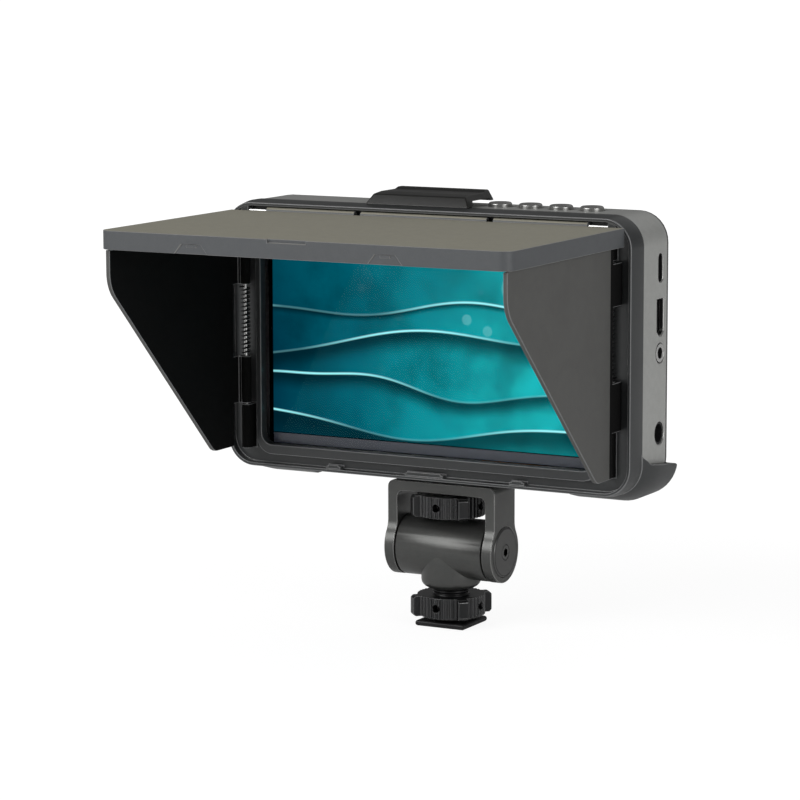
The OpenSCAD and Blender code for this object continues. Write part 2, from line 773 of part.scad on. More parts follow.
// A knurled wheel with four flat lobes and a key hole between each two of them
module lock_wheel(height, bore_d) {
    difference() {
        intersection() {
            linear_extrude(height) {
                circle(wheel_core_r);
                for (i = [0 : wheel_ribs - 1])
                    rotate(360 / wheel_ribs * (i + 0.5))
                        translate([0, -wheel_rib_w / 2]) square([wheel_core_r + wheel_rib_h, wheel_rib_w]);
                for (i = [0 : 3])
                    rotate(45 + 90 * i) translate([0, -wheel_ear_w / 2]) square([wheel_ear_r, wheel_ear_w]);
            }
            rotate_extrude() polygon([
                [0, 0], [wheel_ear_r - wheel_bevel, 0], [wheel_ear_r, wheel_bevel],
                [wheel_ear_r, height - wheel_bevel], [wheel_ear_r - wheel_bevel, height], [0, height]
            ]);
        }
        translate([0, 0, -cut]) cylinder(d = bore_d, h = height + 2 * cut);
        for (i = [0 : 3])
            rotate(90 * i) translate([wheel_core_r - wheel_hole_depth, 0, height / 2])
                rotate([0, 90, 0]) cylinder(d = wheel_hole_d, h = wheel_ear_r);
    }
}

module lower_lock_wheel() {
    color("#1b1c1e") translate([0, 0, lower_wheel_z]) lock_wheel(lower_wheel_h, stem_d + 2 * pin_clearance);
}

// The barrel that the yoke tilts on, with its shoulder and threaded stem in one piece
module tilt_barrel() {
    grooves = round((shoulder_z - washer_z) / stem_pitch);
    color("#35383c") {
        difference() {
            union() {
                translate([0, 0, pivot_z]) rotate([0, 90, 0])
                    cylinder(r = barrel_r, h = barrel_len, center = true);
                rotate_extrude() polygon(concat(
                    [[0, shoulder_z]],
                    [for (t = [0 : 15 : 90])
                        [stem_d / 2 + bowl_w * sin(t), shoulder_z + bowl_h * (1 - cos(t))]],
                    [[stem_d / 2 + bowl_w, pivot_z - join], [0, pivot_z - join]]
                ));
            }
            translate([0, 0, pivot_z]) rotate([0, 90, 0])
                cylinder(d = shaft_d + 2 * pin_clearance, h = barrel_len + 2 * cut, center = true);
        }
        difference() {
            translate([0, 0, washer_z]) cylinder(d = stem_d, h = shoulder_z - washer_z + join);
            for (i = [0 : grooves - 1])
                translate([0, 0, washer_z + stem_pitch * (i + 0.55)]) rotate_extrude() polygon([
                    [stem_d / 2 - thread_depth, 0], [stem_d / 2 + cut, -thread_depth - cut],
                    [stem_d / 2 + cut, thread_depth + cut]
                ]);
        }
    }
}

module pivot_shaft() {
    color("#9a9ea3") translate([0, 0, pivot_z]) difference() {
        rotate([0, 90, 0]) cylinder(d = shaft_d, h = yoke_w - 2 * cap_seat - 2 * turn_gap, center = true);
        rotate([0, 90, 0]) cylinder(d = pivot_screw_d, h = yoke_w);
    }
}

module pivot_screw() {
    head_x = yoke_w / 2 + cap_proud;
    seat_x = yoke_w / 2 - cap_seat - turn_gap;
    color("#5d6064") translate([0, 0, pivot_z]) rotate([0, 90, 0]) difference() {
        union() {
            translate([0, 0, seat_x]) cylinder(d = pivot_head_d, h = head_x - seat_x);
            translate([0, 0, seat_x - pivot_screw_len])
                cylinder(d = pivot_screw_d - 2 * pin_clearance, h = pivot_screw_len + join);
        }
        translate([0, 0, head_x - hex_depth])
            cylinder(d = hex_socket / cos(30), h = hex_depth + cut, $fn = 6);
    }
}

module friction_washer() {
    translate([barrel_len / 2 + turn_gap, 0, pivot_z]) rotate([0, 90, 0]) difference() {
        cylinder(d = friction_d, h = friction_t);
        translate([0, 0, -cut]) cylinder(d = shaft_d + 2 * pin_clearance, h = friction_t + 2 * cut);
    }
}
module right_friction_washer() {
    color("#d8d4c8") friction_washer();
}
module left_friction_washer() {
    color("#d8d4c8") mirror([1, 0, 0]) friction_washer();
}

// ---- yoke ----

// Side view of an arm, about the tilt axis
module arm_2d() {
    blend_z = sqrt(pow(arm_end_r + arm_blend_r, 2) - pow(yoke_depth / 2 + arm_blend_r, 2));
    touch = arm_end_r / (arm_end_r + arm_blend_r);
    circle(arm_end_r);
    translate([-yoke_depth / 2, 0]) square([yoke_depth, yoke_rise]);
    for (side = [-1, 1]) mirror([side < 0 ? 1 : 0, 0]) difference() {
        polygon([[0, 0], [touch * (yoke_depth / 2 + arm_blend_r), touch * blend_z],
                 [yoke_depth / 2, blend_z], [0, blend_z]]);
        translate([yoke_depth / 2 + arm_blend_r, blend_z]) circle(arm_blend_r + blend_overlap);
    }
}

module yoke() {
    window_top = yoke_rise - yoke_t;
    color("#34373b") translate([0, 0, pivot_z]) difference() {
        intersection() {
            along_x(-yoke_w / 2, yoke_w / 2) arm_2d();
            along_y(-yoke_w, yoke_w) polygon(rounded([
                [-yoke_w / 2, -2 * arm_end_r, 0], [yoke_w / 2, -2 * arm_end_r, 0],
                [yoke_w / 2, yoke_rise, yoke_corner_r], [-yoke_w / 2, yoke_rise, yoke_corner_r]
            ]));
        }
        along_y(-yoke_w, yoke_w) polygon(rounded([
            [-yoke_inner_w / 2, -2 * arm_end_r, 0], [yoke_inner_w / 2, -2 * arm_end_r, 0],
            [yoke_inner_w / 2, window_top, yoke_window_r], [-yoke_inner_w / 2, window_top, yoke_window_r]
        ]));
        rotate([0, 90, 0]) cylinder(d = shaft_d + 2 * pin_clearance, h = 2 * yoke_w, center = true);
        both_sides() translate([yoke_w / 2 - cap_seat, 0, 0]) rotate([0, 90, 0])
            cylinder(d = cap_d + 2 * turn_gap, h = cap_seat + cut);
        cylinder(d = camera_screw_d + 2 * pin_clearance, h = 2 * yoke_rise);
    }
}

module right_pivot_cap() {
    color("#2e3134") translate([yoke_w / 2 - cap_seat, 0, pivot_z]) rotate([0, 90, 0]) difference() {
        union() {
            cylinder(d = cap_d, h = cap_seat);
            translate([0, 0, cap_seat]) cylinder(d1 = cap_d, d2 = cap_d - 2 * cap_proud, h = cap_proud);
        }
        translate([0, 0, -cut])
            cylinder(d = pivot_head_d + 2 * pin_clearance, h = cap_seat + cap_proud + 2 * cut);
    }
}
module left_pivot_cap() {
    color("#2e3134") mirror([1, 0, 0]) translate([yoke_w / 2 - cap_seat, 0, pivot_z]) rotate([0, 90, 0]) {
        cylinder(d = cap_d, h = cap_seat);
        translate([0, 0, cap_seat]) cylinder(d1 = cap_d, d2 = cap_d - 2 * cap_proud, h = cap_proud);
    }
}

module yoke_pad() {
    color("#17181a") translate([0, 0, yoke_top_z]) difference() {
        linear_extrude(pad_t) plate_2d(yoke_w - 2 * yoke_corner_r, yoke_depth - 2 * pad_inset, pad_corner_r);
        translate([0, 0, -cut]) cylinder(d = camera_screw_d + 2 * pin_clearance, h = pad_t + 2 * cut);
    }
}

module upper_lock_wheel() {
    color("#1b1c1e") translate([0, 0, upper_wheel_z]) difference() {
        lock_wheel(upper_wheel_h, camera_screw_d + 2 * pin_clearance);
        translate([0, 0, -cut])
            cylinder(d = camera_head_flats / cos(30) + port_gap, h = camera_head_h + cut, $fn = 6);
    }
}

module camera_screw() {
    color("#b5b8bb") translate([0, 0, upper_wheel_z]) {
        cylinder(d = camera_head_flats / cos(30), h = camera_head_h, $fn = 6);
        cylinder(d = camera_screw_d, h = yoke_top_z + camera_screw_up - upper_wheel_z);
    }
}

// ---- monitor housing ----

module threaded_insert() {
    color("#c9a64b") translate([0, 0, foot_pad_z]) difference() {
        cylinder(d = insert_d, h = insert_len);
        translate([0, 0, -cut]) cylinder(d = camera_screw_d + 2 * pin_clearance, h = insert_len + 2 * cut);
    }
}

// Corner places of the case screws
module at_case_screws() {
    for (x = [-1, 1], z = [-1, 1])
        translate([x * (side_x - case_boss_inset), 0, z * (body_top - case_boss_inset)]) children();
}

// An HDMI opening, standing on its narrow side
module hdmi_2d(w, t) {
    shoulder = -w / 2 + t / 4;
    foot = t / 5;
    polygon([
        [-t / 2, shoulder], [-t / 2, w / 2], [t / 2, w / 2],
        [t / 2, shoulder], [foot, -w / 2], [-foot, -w / 2]
    ]);
}

module housing() {
    color("#6f7275") at_body() difference() {
        union() {
            along_y(glass_y, seam_y + join) plate_2d(nose_w, nose_h, nose_r);
            along_y(seam_y, cover_y) plate_2d(body_w, body_h, body_corner_r);
            block([-foot_pad_w / 2, -foot_pad_depth / 2, -body_top - foot_pad_t],
                  [foot_pad_w / 2, foot_pad_depth / 2, -body_top + join]);
        }
        along_y(glass_y - cut, glass_y + glass_t)
            plate_2d(nose_w - 2 * nose_lip_t, nose_h - 2 * nose_lip_t, glass_r);
        along_y(glass_y, plate_y + cut) plate_2d(bay_w, bay_h, glass_r - glass_ledge / 2);
        difference() {
            along_y(plate_y, cover_y + cut) plate_2d(inner_w, inner_h, inner_r);
            at_case_screws() along_y(cover_y - case_boss_len, cover_y) circle(d = case_boss_d);
            translate([0, 0, -body_top]) cylinder(d = insert_d + 2 * insert_wall, h = insert_block_h);
        }
        at_case_screws() along_y(cover_y - case_boss_len + case_bore_end, cover_y + cut)
            circle(d = case_screw_d + 2 * pin_clearance);
        translate([0, 0, -body_top - foot_pad_t - cut])
            cylinder(d = insert_d + 2 * pin_clearance, h = insert_len + cut);
        for (x = button_xs) translate([x, button_y, button_inside_z - cut])
            cylinder(d = button_d + 2 * button_gap, h = wall_t + 2 * cut);
        translate([0, port_y, 0]) along_x(port_x - cut, side_x + cut) {
            translate([0, usb_z]) slot_2d(usb_t, usb_w);
            translate([0, hdmi_z]) hdmi_2d(hdmi_w, hdmi_t);
            translate([0, jack_z]) circle(d = jack_ring_d + 2 * port_gap);
            translate([0, dc_z]) circle(d = dc_ring_d + 2 * port_gap);
        }
    }
}

module rear_cover() {
    deep = rear_cover_t - rear_bevel;
    color("#4a4d50") at_body() difference() {
        hull() {
            along_y(cover_y, cover_y + deep) plate_2d(body_w, body_h, body_corner_r, $fn = 32);
            along_y(cover_y, back_y) plate_2d(body_w - 2 * rear_bevel, body_h - 2 * rear_bevel,
                                              body_corner_r - rear_bevel, $fn = 32);
        }
        at_case_screws() {
            along_y(back_y - case_head_h, back_y + cut) circle(d = case_head_d + 2 * port_gap);
            along_y(cover_y - cut, back_y + cut) circle(d = case_screw_d + 2 * pin_clearance);
        }
        for (row = [-1, 1], i = [0 : vent_count - 1])
            translate([(i - (vent_count - 1) / 2) * vent_pitch, 0, row * (body_top - vent_inset)])
                along_y(cover_y - cut, back_y + cut) slot_2d(vent_w, vent_h);
    }
}

module case_screws() {
    color("#3b3c3e") at_body() at_case_screws() difference() {
        union() {
            along_y(back_y - case_head_h, back_y) circle(d = case_head_d);
            along_y(back_y - case_head_h - case_screw_len, back_y - case_head_h + join)
                circle(d = case_screw_d);
        }
        for (turn = [0, 90]) rotate([0, turn, 0])
            block([-cross_len / 2, back_y - cross_depth, -cross_w / 2],
                  [cross_len / 2, back_y + cut, cross_w / 2]);
    }
}

// ---- display stack and electronics ----

module cover_glass() {
    color("#101418") at_body() along_y(glass_y, glass_y + glass_t) plate_2d(glass_w, glass_h, glass_r);
}

module lcd_panel() {
    color("#0e6f7d") at_body() translate([0, 0, lcd_z]) along_y(glass_y + glass_t, glass_y + glass_t + lcd_t)
        plate_2d(lcd_w, lcd_h, 0.5);
}

module backlight() {
    color("#d9dcde") at_body() translate([0, 0, lcd_z]) along_y(glass_y + glass_t + lcd_t, plate_y)
        plate_2d(lcd_w, lcd_h, 1);
}

// The board's posts, from the middle of the board
module at_board_posts() {
    for (x = [-1, 1], z = [-1, 1])
        translate([
            board_mid_x + x * (board_w / 2 - board_hole_inset), 0, z * (board_h / 2 - board_hole_inset)
        ]) children();
}

module mid_plate() {
    tab_w = 8;
    tab_xs = [button_mid_x - button_board_w / 2 + tab_w / 2, button_mid_x + button_board_w / 2 - tab_w / 2];
    color("#a7abae") at_body() {
        difference() {
            along_y(plate_y, plate_y + mid_plate_t)
                plate_2d(inner_w - 2 * mid_plate_gap, inner_h - 2 * mid_plate_gap, inner_r - mid_plate_gap);
            translate([ribbon_x, 0, ribbon_z]) along_y(plate_y - cut, plate_y + mid_plate_t + cut)
                square([ribbon_w + 2 * ribbon_play, 2 * ribbon_play], center = true);
            at_case_screws() along_y(plate_y - cut, plate_y + mid_plate_t + cut)
                circle(d = case_boss_d + 2 * mid_plate_gap);
        }
        difference() {
            at_board_posts() along_y(plate_y + mid_plate_t - join, board_y) circle(d = board_post_d);
            at_board_posts() along_y(plate_y + 2 * mid_plate_t, board_y + cut) circle(d = board_screw_d);
        }
        for (x = tab_xs) block([x - tab_w / 2, plate_y + mid_plate_t - join, tab_z - mid_plate_t],
                               [x + tab_w / 2, button_y + button_board_depth / 2, tab_z]);
    }
}

module main_board() {
    color("#1f5b3a") at_body() difference() {
        translate([board_mid_x, 0, 0]) along_y(board_y, board_face_y) plate_2d(board_w, board_h, 1);
        at_board_posts() along_y(board_y - cut, board_face_y + cut) circle(d = board_screw_d + 2 * port_gap);
    }
}

module heat_spreader() {
    pitch = (heat_w - heat_fin_t) / (heat_fins - 1);
    color("#8d9297") at_body() translate([heat_x, 0, 0]) {
        block([-heat_w / 2, board_face_y, -heat_h / 2], [heat_w / 2, board_face_y + heat_base_t, heat_h / 2]);
        for (i = [0 : heat_fins - 1])
            translate([-heat_w / 2 + i * pitch, board_face_y + heat_base_t - join, -heat_h / 2])
                cube([heat_fin_t, heat_fin_h + join, heat_h]);
    }
}

// From the display's lower edge, through the plate and up to the main board
module ribbon_cable() {
    lcd_y = glass_y + glass_t + lcd_t;
    bottom = ribbon_z - ribbon_t / 2;
    color("#c98a2b") at_body() translate([ribbon_x, 0, 0]) {
        block([-ribbon_w / 2, lcd_y, bottom], [ribbon_w / 2, lcd_y + ribbon_t, lcd_z - lcd_h / 2]);
        block([-ribbon_w / 2, lcd_y, bottom], [ribbon_w / 2, board_y, bottom + ribbon_t]);
        block([-ribbon_w / 2, board_y - ribbon_t, bottom], [ribbon_w / 2, board_y, -board_h / 2 + 4]);
    }
}

module button_board() {
    color("#1f5b3a") at_body() block(
        [button_mid_x - button_board_w / 2, button_y - button_board_depth / 2, tab_z],
        [button_mid_x + button_board_w / 2, button_y + button_board_depth / 2, switch_z]);
}

module tact_switches() {
    color("#2a2c2e") at_body() for (x = button_xs) translate([x, button_y, switch_z]) {
        translate([-switch_w / 2, -switch_w / 2, 0]) cube([switch_w, switch_w, switch_h]);
        translate([0, 0, switch_h - join]) cylinder(d = plunger_d, h = plunger_h + join);
    }
}

module button(i) {
    rim_z = body_top + button_proud - button_rim;
    color("#8b8f93") at_body() translate([button_xs[i], button_y, 0]) {
        translate([0, 0, button_inside_z - join]) cylinder(d = button_d, h = rim_z - button_inside_z + join);
        translate([0, 0, rim_z]) cylinder(d1 = button_d, d2 = button_d - 2 * button_rim, h = button_rim);
        translate([0, 0, button_inside_z - button_flange_t])
            cylinder(d = button_d + 2 * button_gap + 2 * button_flange, h = button_flange_t);
        translate([0, 0, stem_bottom_z]) cylinder(d = button_stem_d, h = button_stem_h + join);
    }
}
module button_1() {
    button(0);
}
module button_2() {
    button(1);
}
module button_3() {
    button(2);
}
module button_4() {
    button(3);
}

// ---- ports ----

// A block from the main board to a port's shell
module port_leg(z, w) {
    block([port_x - port_depth, board_face_y, z - w / 2 + port_leg_inset],
          [port_x - port_leg_setback, port_y, z + w / 2 - port_leg_inset]);
}

module usb_c_port() {
    hollow = 2 * (port_fit + port_shell_t);
    color("#b9bcbf") at_body() difference() {
        union() {
            translate([0, port_y, usb_z]) along_x(port_x - port_depth, port_x)
                slot_2d(usb_t - 2 * port_fit, usb_w - 2 * port_fit);
            port_leg(usb_z, usb_w);
        }
        translate([0, port_y, usb_z]) difference() {
            along_x(port_x - port_depth + port_back_t, port_x + cut) slot_2d(usb_t - hollow, usb_w - hollow);
            along_x(port_x - port_depth, port_x - tongue_setback)
                square([usb_tongue_t, usb_tongue_w], center = true);
        }
    }
}

module hdmi_port() {
    hollow = 2 * (port_fit + port_shell_t);
    color("#b9bcbf") at_body() difference() {
        union() {
            translate([0, port_y, hdmi_z]) along_x(port_x - port_depth, port_x)
                hdmi_2d(hdmi_w - 2 * port_fit, hdmi_t - 2 * port_fit);
            port_leg(hdmi_z, hdmi_w);
        }
        translate([0, port_y, hdmi_z]) difference() {
            along_x(port_x - port_depth + port_back_t, port_x + cut)
                hdmi_2d(hdmi_w - hollow, hdmi_t - hollow);
            along_x(port_x - port_depth, port_x - tongue_setback)
                square([hdmi_tongue_t, hdmi_tongue_w], center = true);
        }
    }
}

module headphone_jack() {
    color("#c7cacc") at_body() difference() {
        union() {
            block([side_x - jack_depth - port_back_t, board_face_y, jack_z - jack_ring_d / 2],
                  [port_x - port_gap, port_y + jack_block_t, jack_z + jack_ring_d / 2]);
            translate([0, port_y, jack_z]) along_x(port_x - port_back_t, side_x) circle(d = jack_ring_d);
        }
        translate([0, port_y, jack_z]) along_x(side_x - jack_depth, side_x + cut) circle(d = jack_bore_d);
    }
}

module dc_jack() {
    color("#232527") at_body() {
        difference() {
            union() {
                block([side_x - port_depth - port_back_t, board_face_y, dc_z - dc_ring_d / 2],
                      [port_x - port_gap, port_y + dc_ring_d / 2, dc_z + dc_ring_d / 2]);
                translate([0, port_y, dc_z]) along_x(port_x - port_back_t, side_x - dc_setback)
                    circle(d = dc_ring_d);
            }
            translate([0, port_y, dc_z]) along_x(side_x - port_depth, side_x + cut) circle(d = dc_bore_d);
        }
        translate([0, port_y, dc_z]) along_x(side_x - port_depth - join, side_x - dc_pin_setback)
            circle(d = dc_pin_d);
    }
}

// ---- battery plate on the back ----

module battery_plate() {
    base_y = back_y + battery_base_t;
    rail_y = base_y + battery_rail_h;
    rail_x = battery_plate_w / 2 - battery_rail_t;
    rail_z = battery_plate_h / 2 - battery_rail_end;
    block_z = battery_plate_h / 2 - contact_block_inset;
    low = -battery_plate_h / 2;
    color("#1d1e20") at_body() difference() {
        union() {
            along_y(back_y, base_y) plate_2d(battery_plate_w, battery_plate_h, battery_corner_r);
            both_sides() {
                block([rail_x, base_y - join, -rail_z], [battery_plate_w / 2, rail_y, rail_z]);
                for (z = hook_zs)
                    block([rail_x - hook_in, rail_y - hook_t, z], [rail_x + join, rail_y, z + hook_len]);
            }
            block([-contact_block_w / 2, base_y - join, block_z - contact_block_h],
                  [contact_block_w / 2, rail_y, block_z]);
        }
        block([-latch_w / 2 - latch_play, back_y + latch_floor, low - cut],
              [latch_w / 2 + latch_play, base_y + cut, low + latch_h + latch_travel + 2 * latch_play]);
        for (x = contact_xs)
            block([x - contact_groove_w / 2, base_y + contact_rise, block_z - contact_block_h - cut],
                  [x + contact_groove_w / 2, rail_y + cut, block_z - contact_block_h / 2]);
    }
}

module battery_contacts() {
    base_y = back_y + battery_base_t;
    block_z = battery_plate_h / 2 - contact_block_inset;
    color("#d3a94a") at_body() for (x = contact_xs)
        block([x - contact_w / 2, base_y + contact_rise, block_z - contact_block_h - contact_reach],
              [x + contact_w / 2, base_y + battery_rail_h - contact_drop, block_z - contact_block_h / 2]);
}

module battery_latch() {
    low = latch_play - battery_plate_h / 2;
    face_y = back_y + battery_base_t + latch_proud;
    first = (latch_h - 2 * latch_ridge_pitch - latch_ridge_w) / 2;
    color("#3a3c3f") at_body() {
        block([-latch_w / 2, back_y + latch_floor + port_gap, low], [latch_w / 2, face_y, low + latch_h]);
        for (i = [0 : 2]) translate([0, 0, low + first + latch_ridge_pitch * i])
            block([1 - latch_w / 2, face_y - join, 0],
                  [latch_w / 2 - 1, face_y + latch_ridge_h, latch_ridge_w]);
    }
}

// ---- hood frame ----

// A post from the channel's floor to a hinge axis, with the pin's bore
module hinge_post(axis_y, bottom, top) {
    difference() {
        union() {
            translate([side_axis_x, axis_y, bottom]) cylinder(r = side_barrel_r, h = top - bottom);
            block([side_axis_x - side_barrel_r, axis_y, bottom],
                  [side_axis_x + side_barrel_r, channel_depth + join, top]);
        }
        translate([side_axis_x, axis_y, bottom - cut]) cylinder(d = pin_bore_d, h = top - bottom + 2 * cut);
    }
}

// Ears at the ends of the top hinge
module top_ear() {
    difference() {
        block([top_ear_x, ear_setback, band_h / 2 - join],
              [top_ear_x + top_ear_w, channel_depth + join, channel_h / 2 + join]);
        translate([0, top_axis_y, top_axis_z]) along_x(top_ear_x - cut, top_ear_x + top_ear_w + cut)
            circle(d = pin_bore_d);
    }
}

// The wall that wraps a lower corner of the housing
module corner_cradle() {
    outer_w = body_w + 2 * cradle_t + 2 * hood_fit;
    outer_h = body_h + 2 * cradle_t + 2 * hood_fit;
    lip_y = back_y - front_y + hood_fit;
    end_y = lip_y + cradle_lip_t;
    back_top = -body_top + cradle_rise;
    foot_z = back_top + cradle_fall;
    root_y = hood_depth - cradle_root;
    profile = [
        [root_y, end_y, cradle_t + 2 * hood_fit], [hood_depth + cradle_root, end_y, cradle_edge_r],
        [hood_depth + cradle_swell, end_y - cradle_edge_r, 0]
    ];
    module shell(from, w, h, r) {
        difference() {
            hull() for (p = profile) along_y(p[0], p[1])
                plate_2d(outer_w - 2 * p[2], outer_h - 2 * p[2], body_corner_r + cradle_t - p[2], $fn = 48);
            along_y(-cut, from) plate_2d(2 * outer_w, 2 * outer_h, 0.5);
            along_y(from - cut, end_y + cut) plate_2d(w, h, r);
        }
    }
    intersection() {
        union() {
            shell(root_y, body_w + hood_fit, body_h + hood_fit, body_corner_r + hood_fit / 2);
            shell(lip_y, body_w - 2 * cradle_lip, body_h - 2 * cradle_lip, body_corner_r - cradle_lip);
        }
        along_x(outer_w / 2 - body_corner_r - cradle_reach, outer_w) polygon(rounded([
            [0, -outer_h, 0], [end_y + cut, -outer_h, 0], [end_y + cut, back_top, cradle_corner_r],
            [hood_depth + cradle_sweep_len, foot_z, cradle_sweep_len],
            [root_y, foot_z + cradle_sweep_h, 0], [0, foot_z + cradle_sweep_h, 0]
        ]));
    }
}

// Small hooks that the closed hood snaps on, in the lower channel
module catch(x, w) {
    floor_z = -channel_h / 2;
    side = catch_hook_h + catch_setback / 2;
    block([x - w / 2, catch_setback, floor_z - join], [x + w / 2, channel_depth + join, floor_z + catch_h]);
    block([x - w / 2 + side, catch_setback, floor_z + catch_h - join],
          [x + w / 2 - side, catch_setback + catch_hook_t, floor_z + catch_h + catch_hook_h]);
}

module hood_frame() {
    color("#55585b") at_hood() {
        difference() {
            hull() for (p = [[0, rim_taper], [rim_taper_len, 0]]) along_y(p[0], hood_depth)
                plate_2d(hood_w - 2 * p[1], hood_h - 2 * p[1], hood_corner_r - p[1], $fn = 64);
            along_y(-cut, hood_depth + cut) plate_2d(window_w, window_h, window_r);
            along_y(flange_t, hood_depth + cut)
                plate_2d(nose_w + 2 * hood_fit, nose_h + 2 * hood_fit, nose_r + hood_fit);
            difference() {
                along_y(-cut, channel_depth) plate_2d(channel_w, channel_h, channel_r);
                along_y(-2 * cut, channel_depth + cut) plate_2d(band_w, band_h, window_r + band_side);
            }
        }
        hinge_post(right_axis_y, knuckle_bottom, knuckle_top);
        hinge_post(right_axis_y, post_bottom, post_top);
        mirror([1, 0, 0]) {
            hinge_post(left_axis_y, knuckle_bottom, knuckle_top);
            hinge_post(left_axis_y, post_bottom, post_top);
        }
        both_sides() {
            top_ear();
            corner_cradle();
            catch(catch_x, catch_w);
        }
        catch(0, tongue_w);
    }
}

// A lifting grip that curves back over the housing
module top_grip() {
    top = hood_top + grip_h;
    low = top - grip_t;
    back = hood_depth + grip_reach;
    lip_y = back - grip_lip_t;
    foot = hood_top + grip_flare_h;
    tip_w = grip_w - 2 * grip_taper;
    color("#4b4e51") at_hood() translate([grip_x, 0, 0]) intersection() {
        along_x(-grip_w / 2, grip_w / 2) polygon(rounded([
            [grip_root, hood_top, 0], [hood_depth - hood_fit, hood_top, 0],
            [hood_depth + grip_t, low, grip_lip_h],
            [lip_y, low, 0], [lip_y + grip_lip_h, low - grip_lip_h, 0.3], [back, low - grip_lip_h, 0.4],
            [back, top + grip_lip_h, 0.5], [lip_y, top + grip_lip_h, 0.5], [lip_y - 2 * grip_lip_h, top, 0.6],
            [hood_depth + grip_taper, top, 4], [grip_root + grip_t, top - grip_flare_h, 1]
        ], 5));
        along_y(0, 2 * back) polygon([
            [-grip_w / 2, hood_top - join], [grip_w / 2, hood_top - join], [grip_w / 2, foot],
            [tip_w / 2, top + 2 * grip_lip_h], [-tip_w / 2, top + 2 * grip_lip_h], [-grip_w / 2, foot]
        ]);
    }
}

// ---- hood panels ----

module top_panel() {
    front = -panel_len;
    outline = rounded([
        [-panel_w / 2, panel_back_y, 0], [-panel_w / 2, front, panel_corner_r],
        [panel_w / 2, front, panel_corner_r], [panel_w / 2, panel_back_y, 0]
    ]);
    hollow = rounded([
        [-skirt_x, panel_back_y + cut, 0], [-skirt_x, front + skirt_t, panel_corner_r - skirt_t],
        [skirt_x, front + skirt_t, panel_corner_r - skirt_t], [skirt_x, panel_back_y + cut, 0]
    ]);
    color("#6a6764") at_hood() {
        difference() {
            translate([0, 0, skirt_low]) linear_extrude(skirt_h) polygon(outline);
            translate([0, 0, skirt_low - cut]) linear_extrude(skirt_h - panel_t + cut) polygon(hollow);
            for (x = snap_xs) translate([x, 0, skirt_low]) along_y(front - cut, front + snap_depth) polygon([
                [-snap_w / 2, -cut], [snap_w / 2, -cut], [snap_top_w / 2, snap_h], [-snap_top_w / 2, snap_h]
            ]);
            block([notch_xs[0], front - cut, panel_z - notch_h],
                  [notch_xs[1], front + notch_depth, panel_z + cut]);
        }
        for (x = snap_xs)
            block([x - hook_w / 2, front + port_gap, skirt_low + hook_low],
                  [x + hook_w / 2, front + snap_depth + join, skirt_low + hook_low + hook_h]);
        difference() {
            union() {
                translate([0, top_axis_y, top_axis_z]) along_x(-top_barrel_half, top_barrel_half)
                    circle(top_barrel_r);
                block([-top_barrel_half, panel_back_y - join, panel_under_z + web_rise],
                      [top_barrel_half, top_axis_y, panel_z]);
            }
            translate([0, top_axis_y, top_axis_z]) along_x(-top_barrel_half - cut, top_barrel_half + cut)
                circle(d = pin_bore_d);
            for (x = [-barrel_slot_x, barrel_slot_x])
                block([x - barrel_slot_w / 2, panel_back_y - port_gap, panel_z - cut],
                      [x + barrel_slot_w / 2, panel_back_y + channel_depth, panel_z + top_barrel_r]);
        }
    }
}

// Two short pins, each from its ear into the panel's barrel
module top_hinge_pins() {
    color("#c9ccce") at_hood() both_sides() translate([0, top_axis_y, top_axis_z])
        along_x(top_barrel_half - top_pin_in, top_ear_x + top_ear_w - pin_gap) circle(d = pin_d);
}

// A side flap as on the right, about its hinge axis, which is at this Y in the hood
module flap(axis_y) {
    inner = flap_offset;
    outer = flap_offset + flap_t;
    low = -flap_bottom;
    front = -panel_len + flap_setback - axis_y;
    rear = -flap_rear - axis_y;
    notch_z = skirt_low - hood_gap;
    upper_z = [spring_top + hood_gap, knuckle_bottom - hood_gap];
    lower_z = [post_top + hood_gap, spring_bottom - hood_gap];
    web_y = side_barrel_r * 0.65;
    difference() {
        union() {
            along_x(inner, outer) polygon(rounded([
                [rear, low, 0], [rear, flap_top, 0], [front + flap_notch, flap_top, 0],
                [front + flap_notch, notch_z, 0], [front, notch_z, 0],
                [front, flap_top - flap_front_h, flap_corner_r], [-flap_foot_len, low, flap_foot_r]
            ]));
            for (z = [upper_z, lower_z]) {
                translate([0, 0, z[0]]) cylinder(r = side_barrel_r, h = z[1] - z[0]);
                block([0, -web_y, z[0]], [inner + join, web_y, z[1]]);
                block([inner, rear - join, z[0]], [outer, flap_back, z[1]]);
            }
        }
        translate([0, 0, low - cut]) cylinder(d = pin_bore_d, h = flap_top - low + 2 * cut);
    }
}
module right_flap() {
    color("#2a2b2d") at_hood() translate([side_axis_x, right_axis_y, 0]) flap(right_axis_y);
}
module left_flap() {
    color("#2a2b2d") at_hood() mirror([1, 0, 0]) translate([side_axis_x, left_axis_y, 0]) flap(left_axis_y);
}

module side_pin(axis_y) {
    translate([side_axis_x, axis_y, post_top - pin_grip])
        cylinder(d = pin_d, h = knuckle_bottom - post_top + 2 * pin_grip);
}
module right_hinge_pin() {
    color("#9b9ea1") at_hood() side_pin(right_axis_y);
}
module left_hinge_pin() {
    color("#9b9ea1") at_hood() mirror([1, 0, 0]) side_pin(left_axis_y);
}

// ---- hinge springs ----

// Centre line of a torsion spring about the hinge axis: a straight leg from the channel's floor,
// the turns, and a straight leg toward the front
spring_steps = 8;
spring_leg = 1.5;
spring_pitch = (spring_top - spring_bottom - 2 * spring_wire) / spring_turns;
function spring_path(floor_y) = concat(
    [for (s = [0 : 2]) [spring_r, floor_y * (1 - s / 3), spring_bottom + spring_wire]],
    [for (i = [0 : spring_turns * spring_steps])
        let (t = 360 * i / spring_steps)
        [spring_r * cos(t), -spring_r * sin(t), spring_bottom + spring_wire + spring_pitch * t / 360]],
    [for (s = [1 : 2]) [spring_r, -spring_leg * s / 2, spring_top - spring_wire]]
);
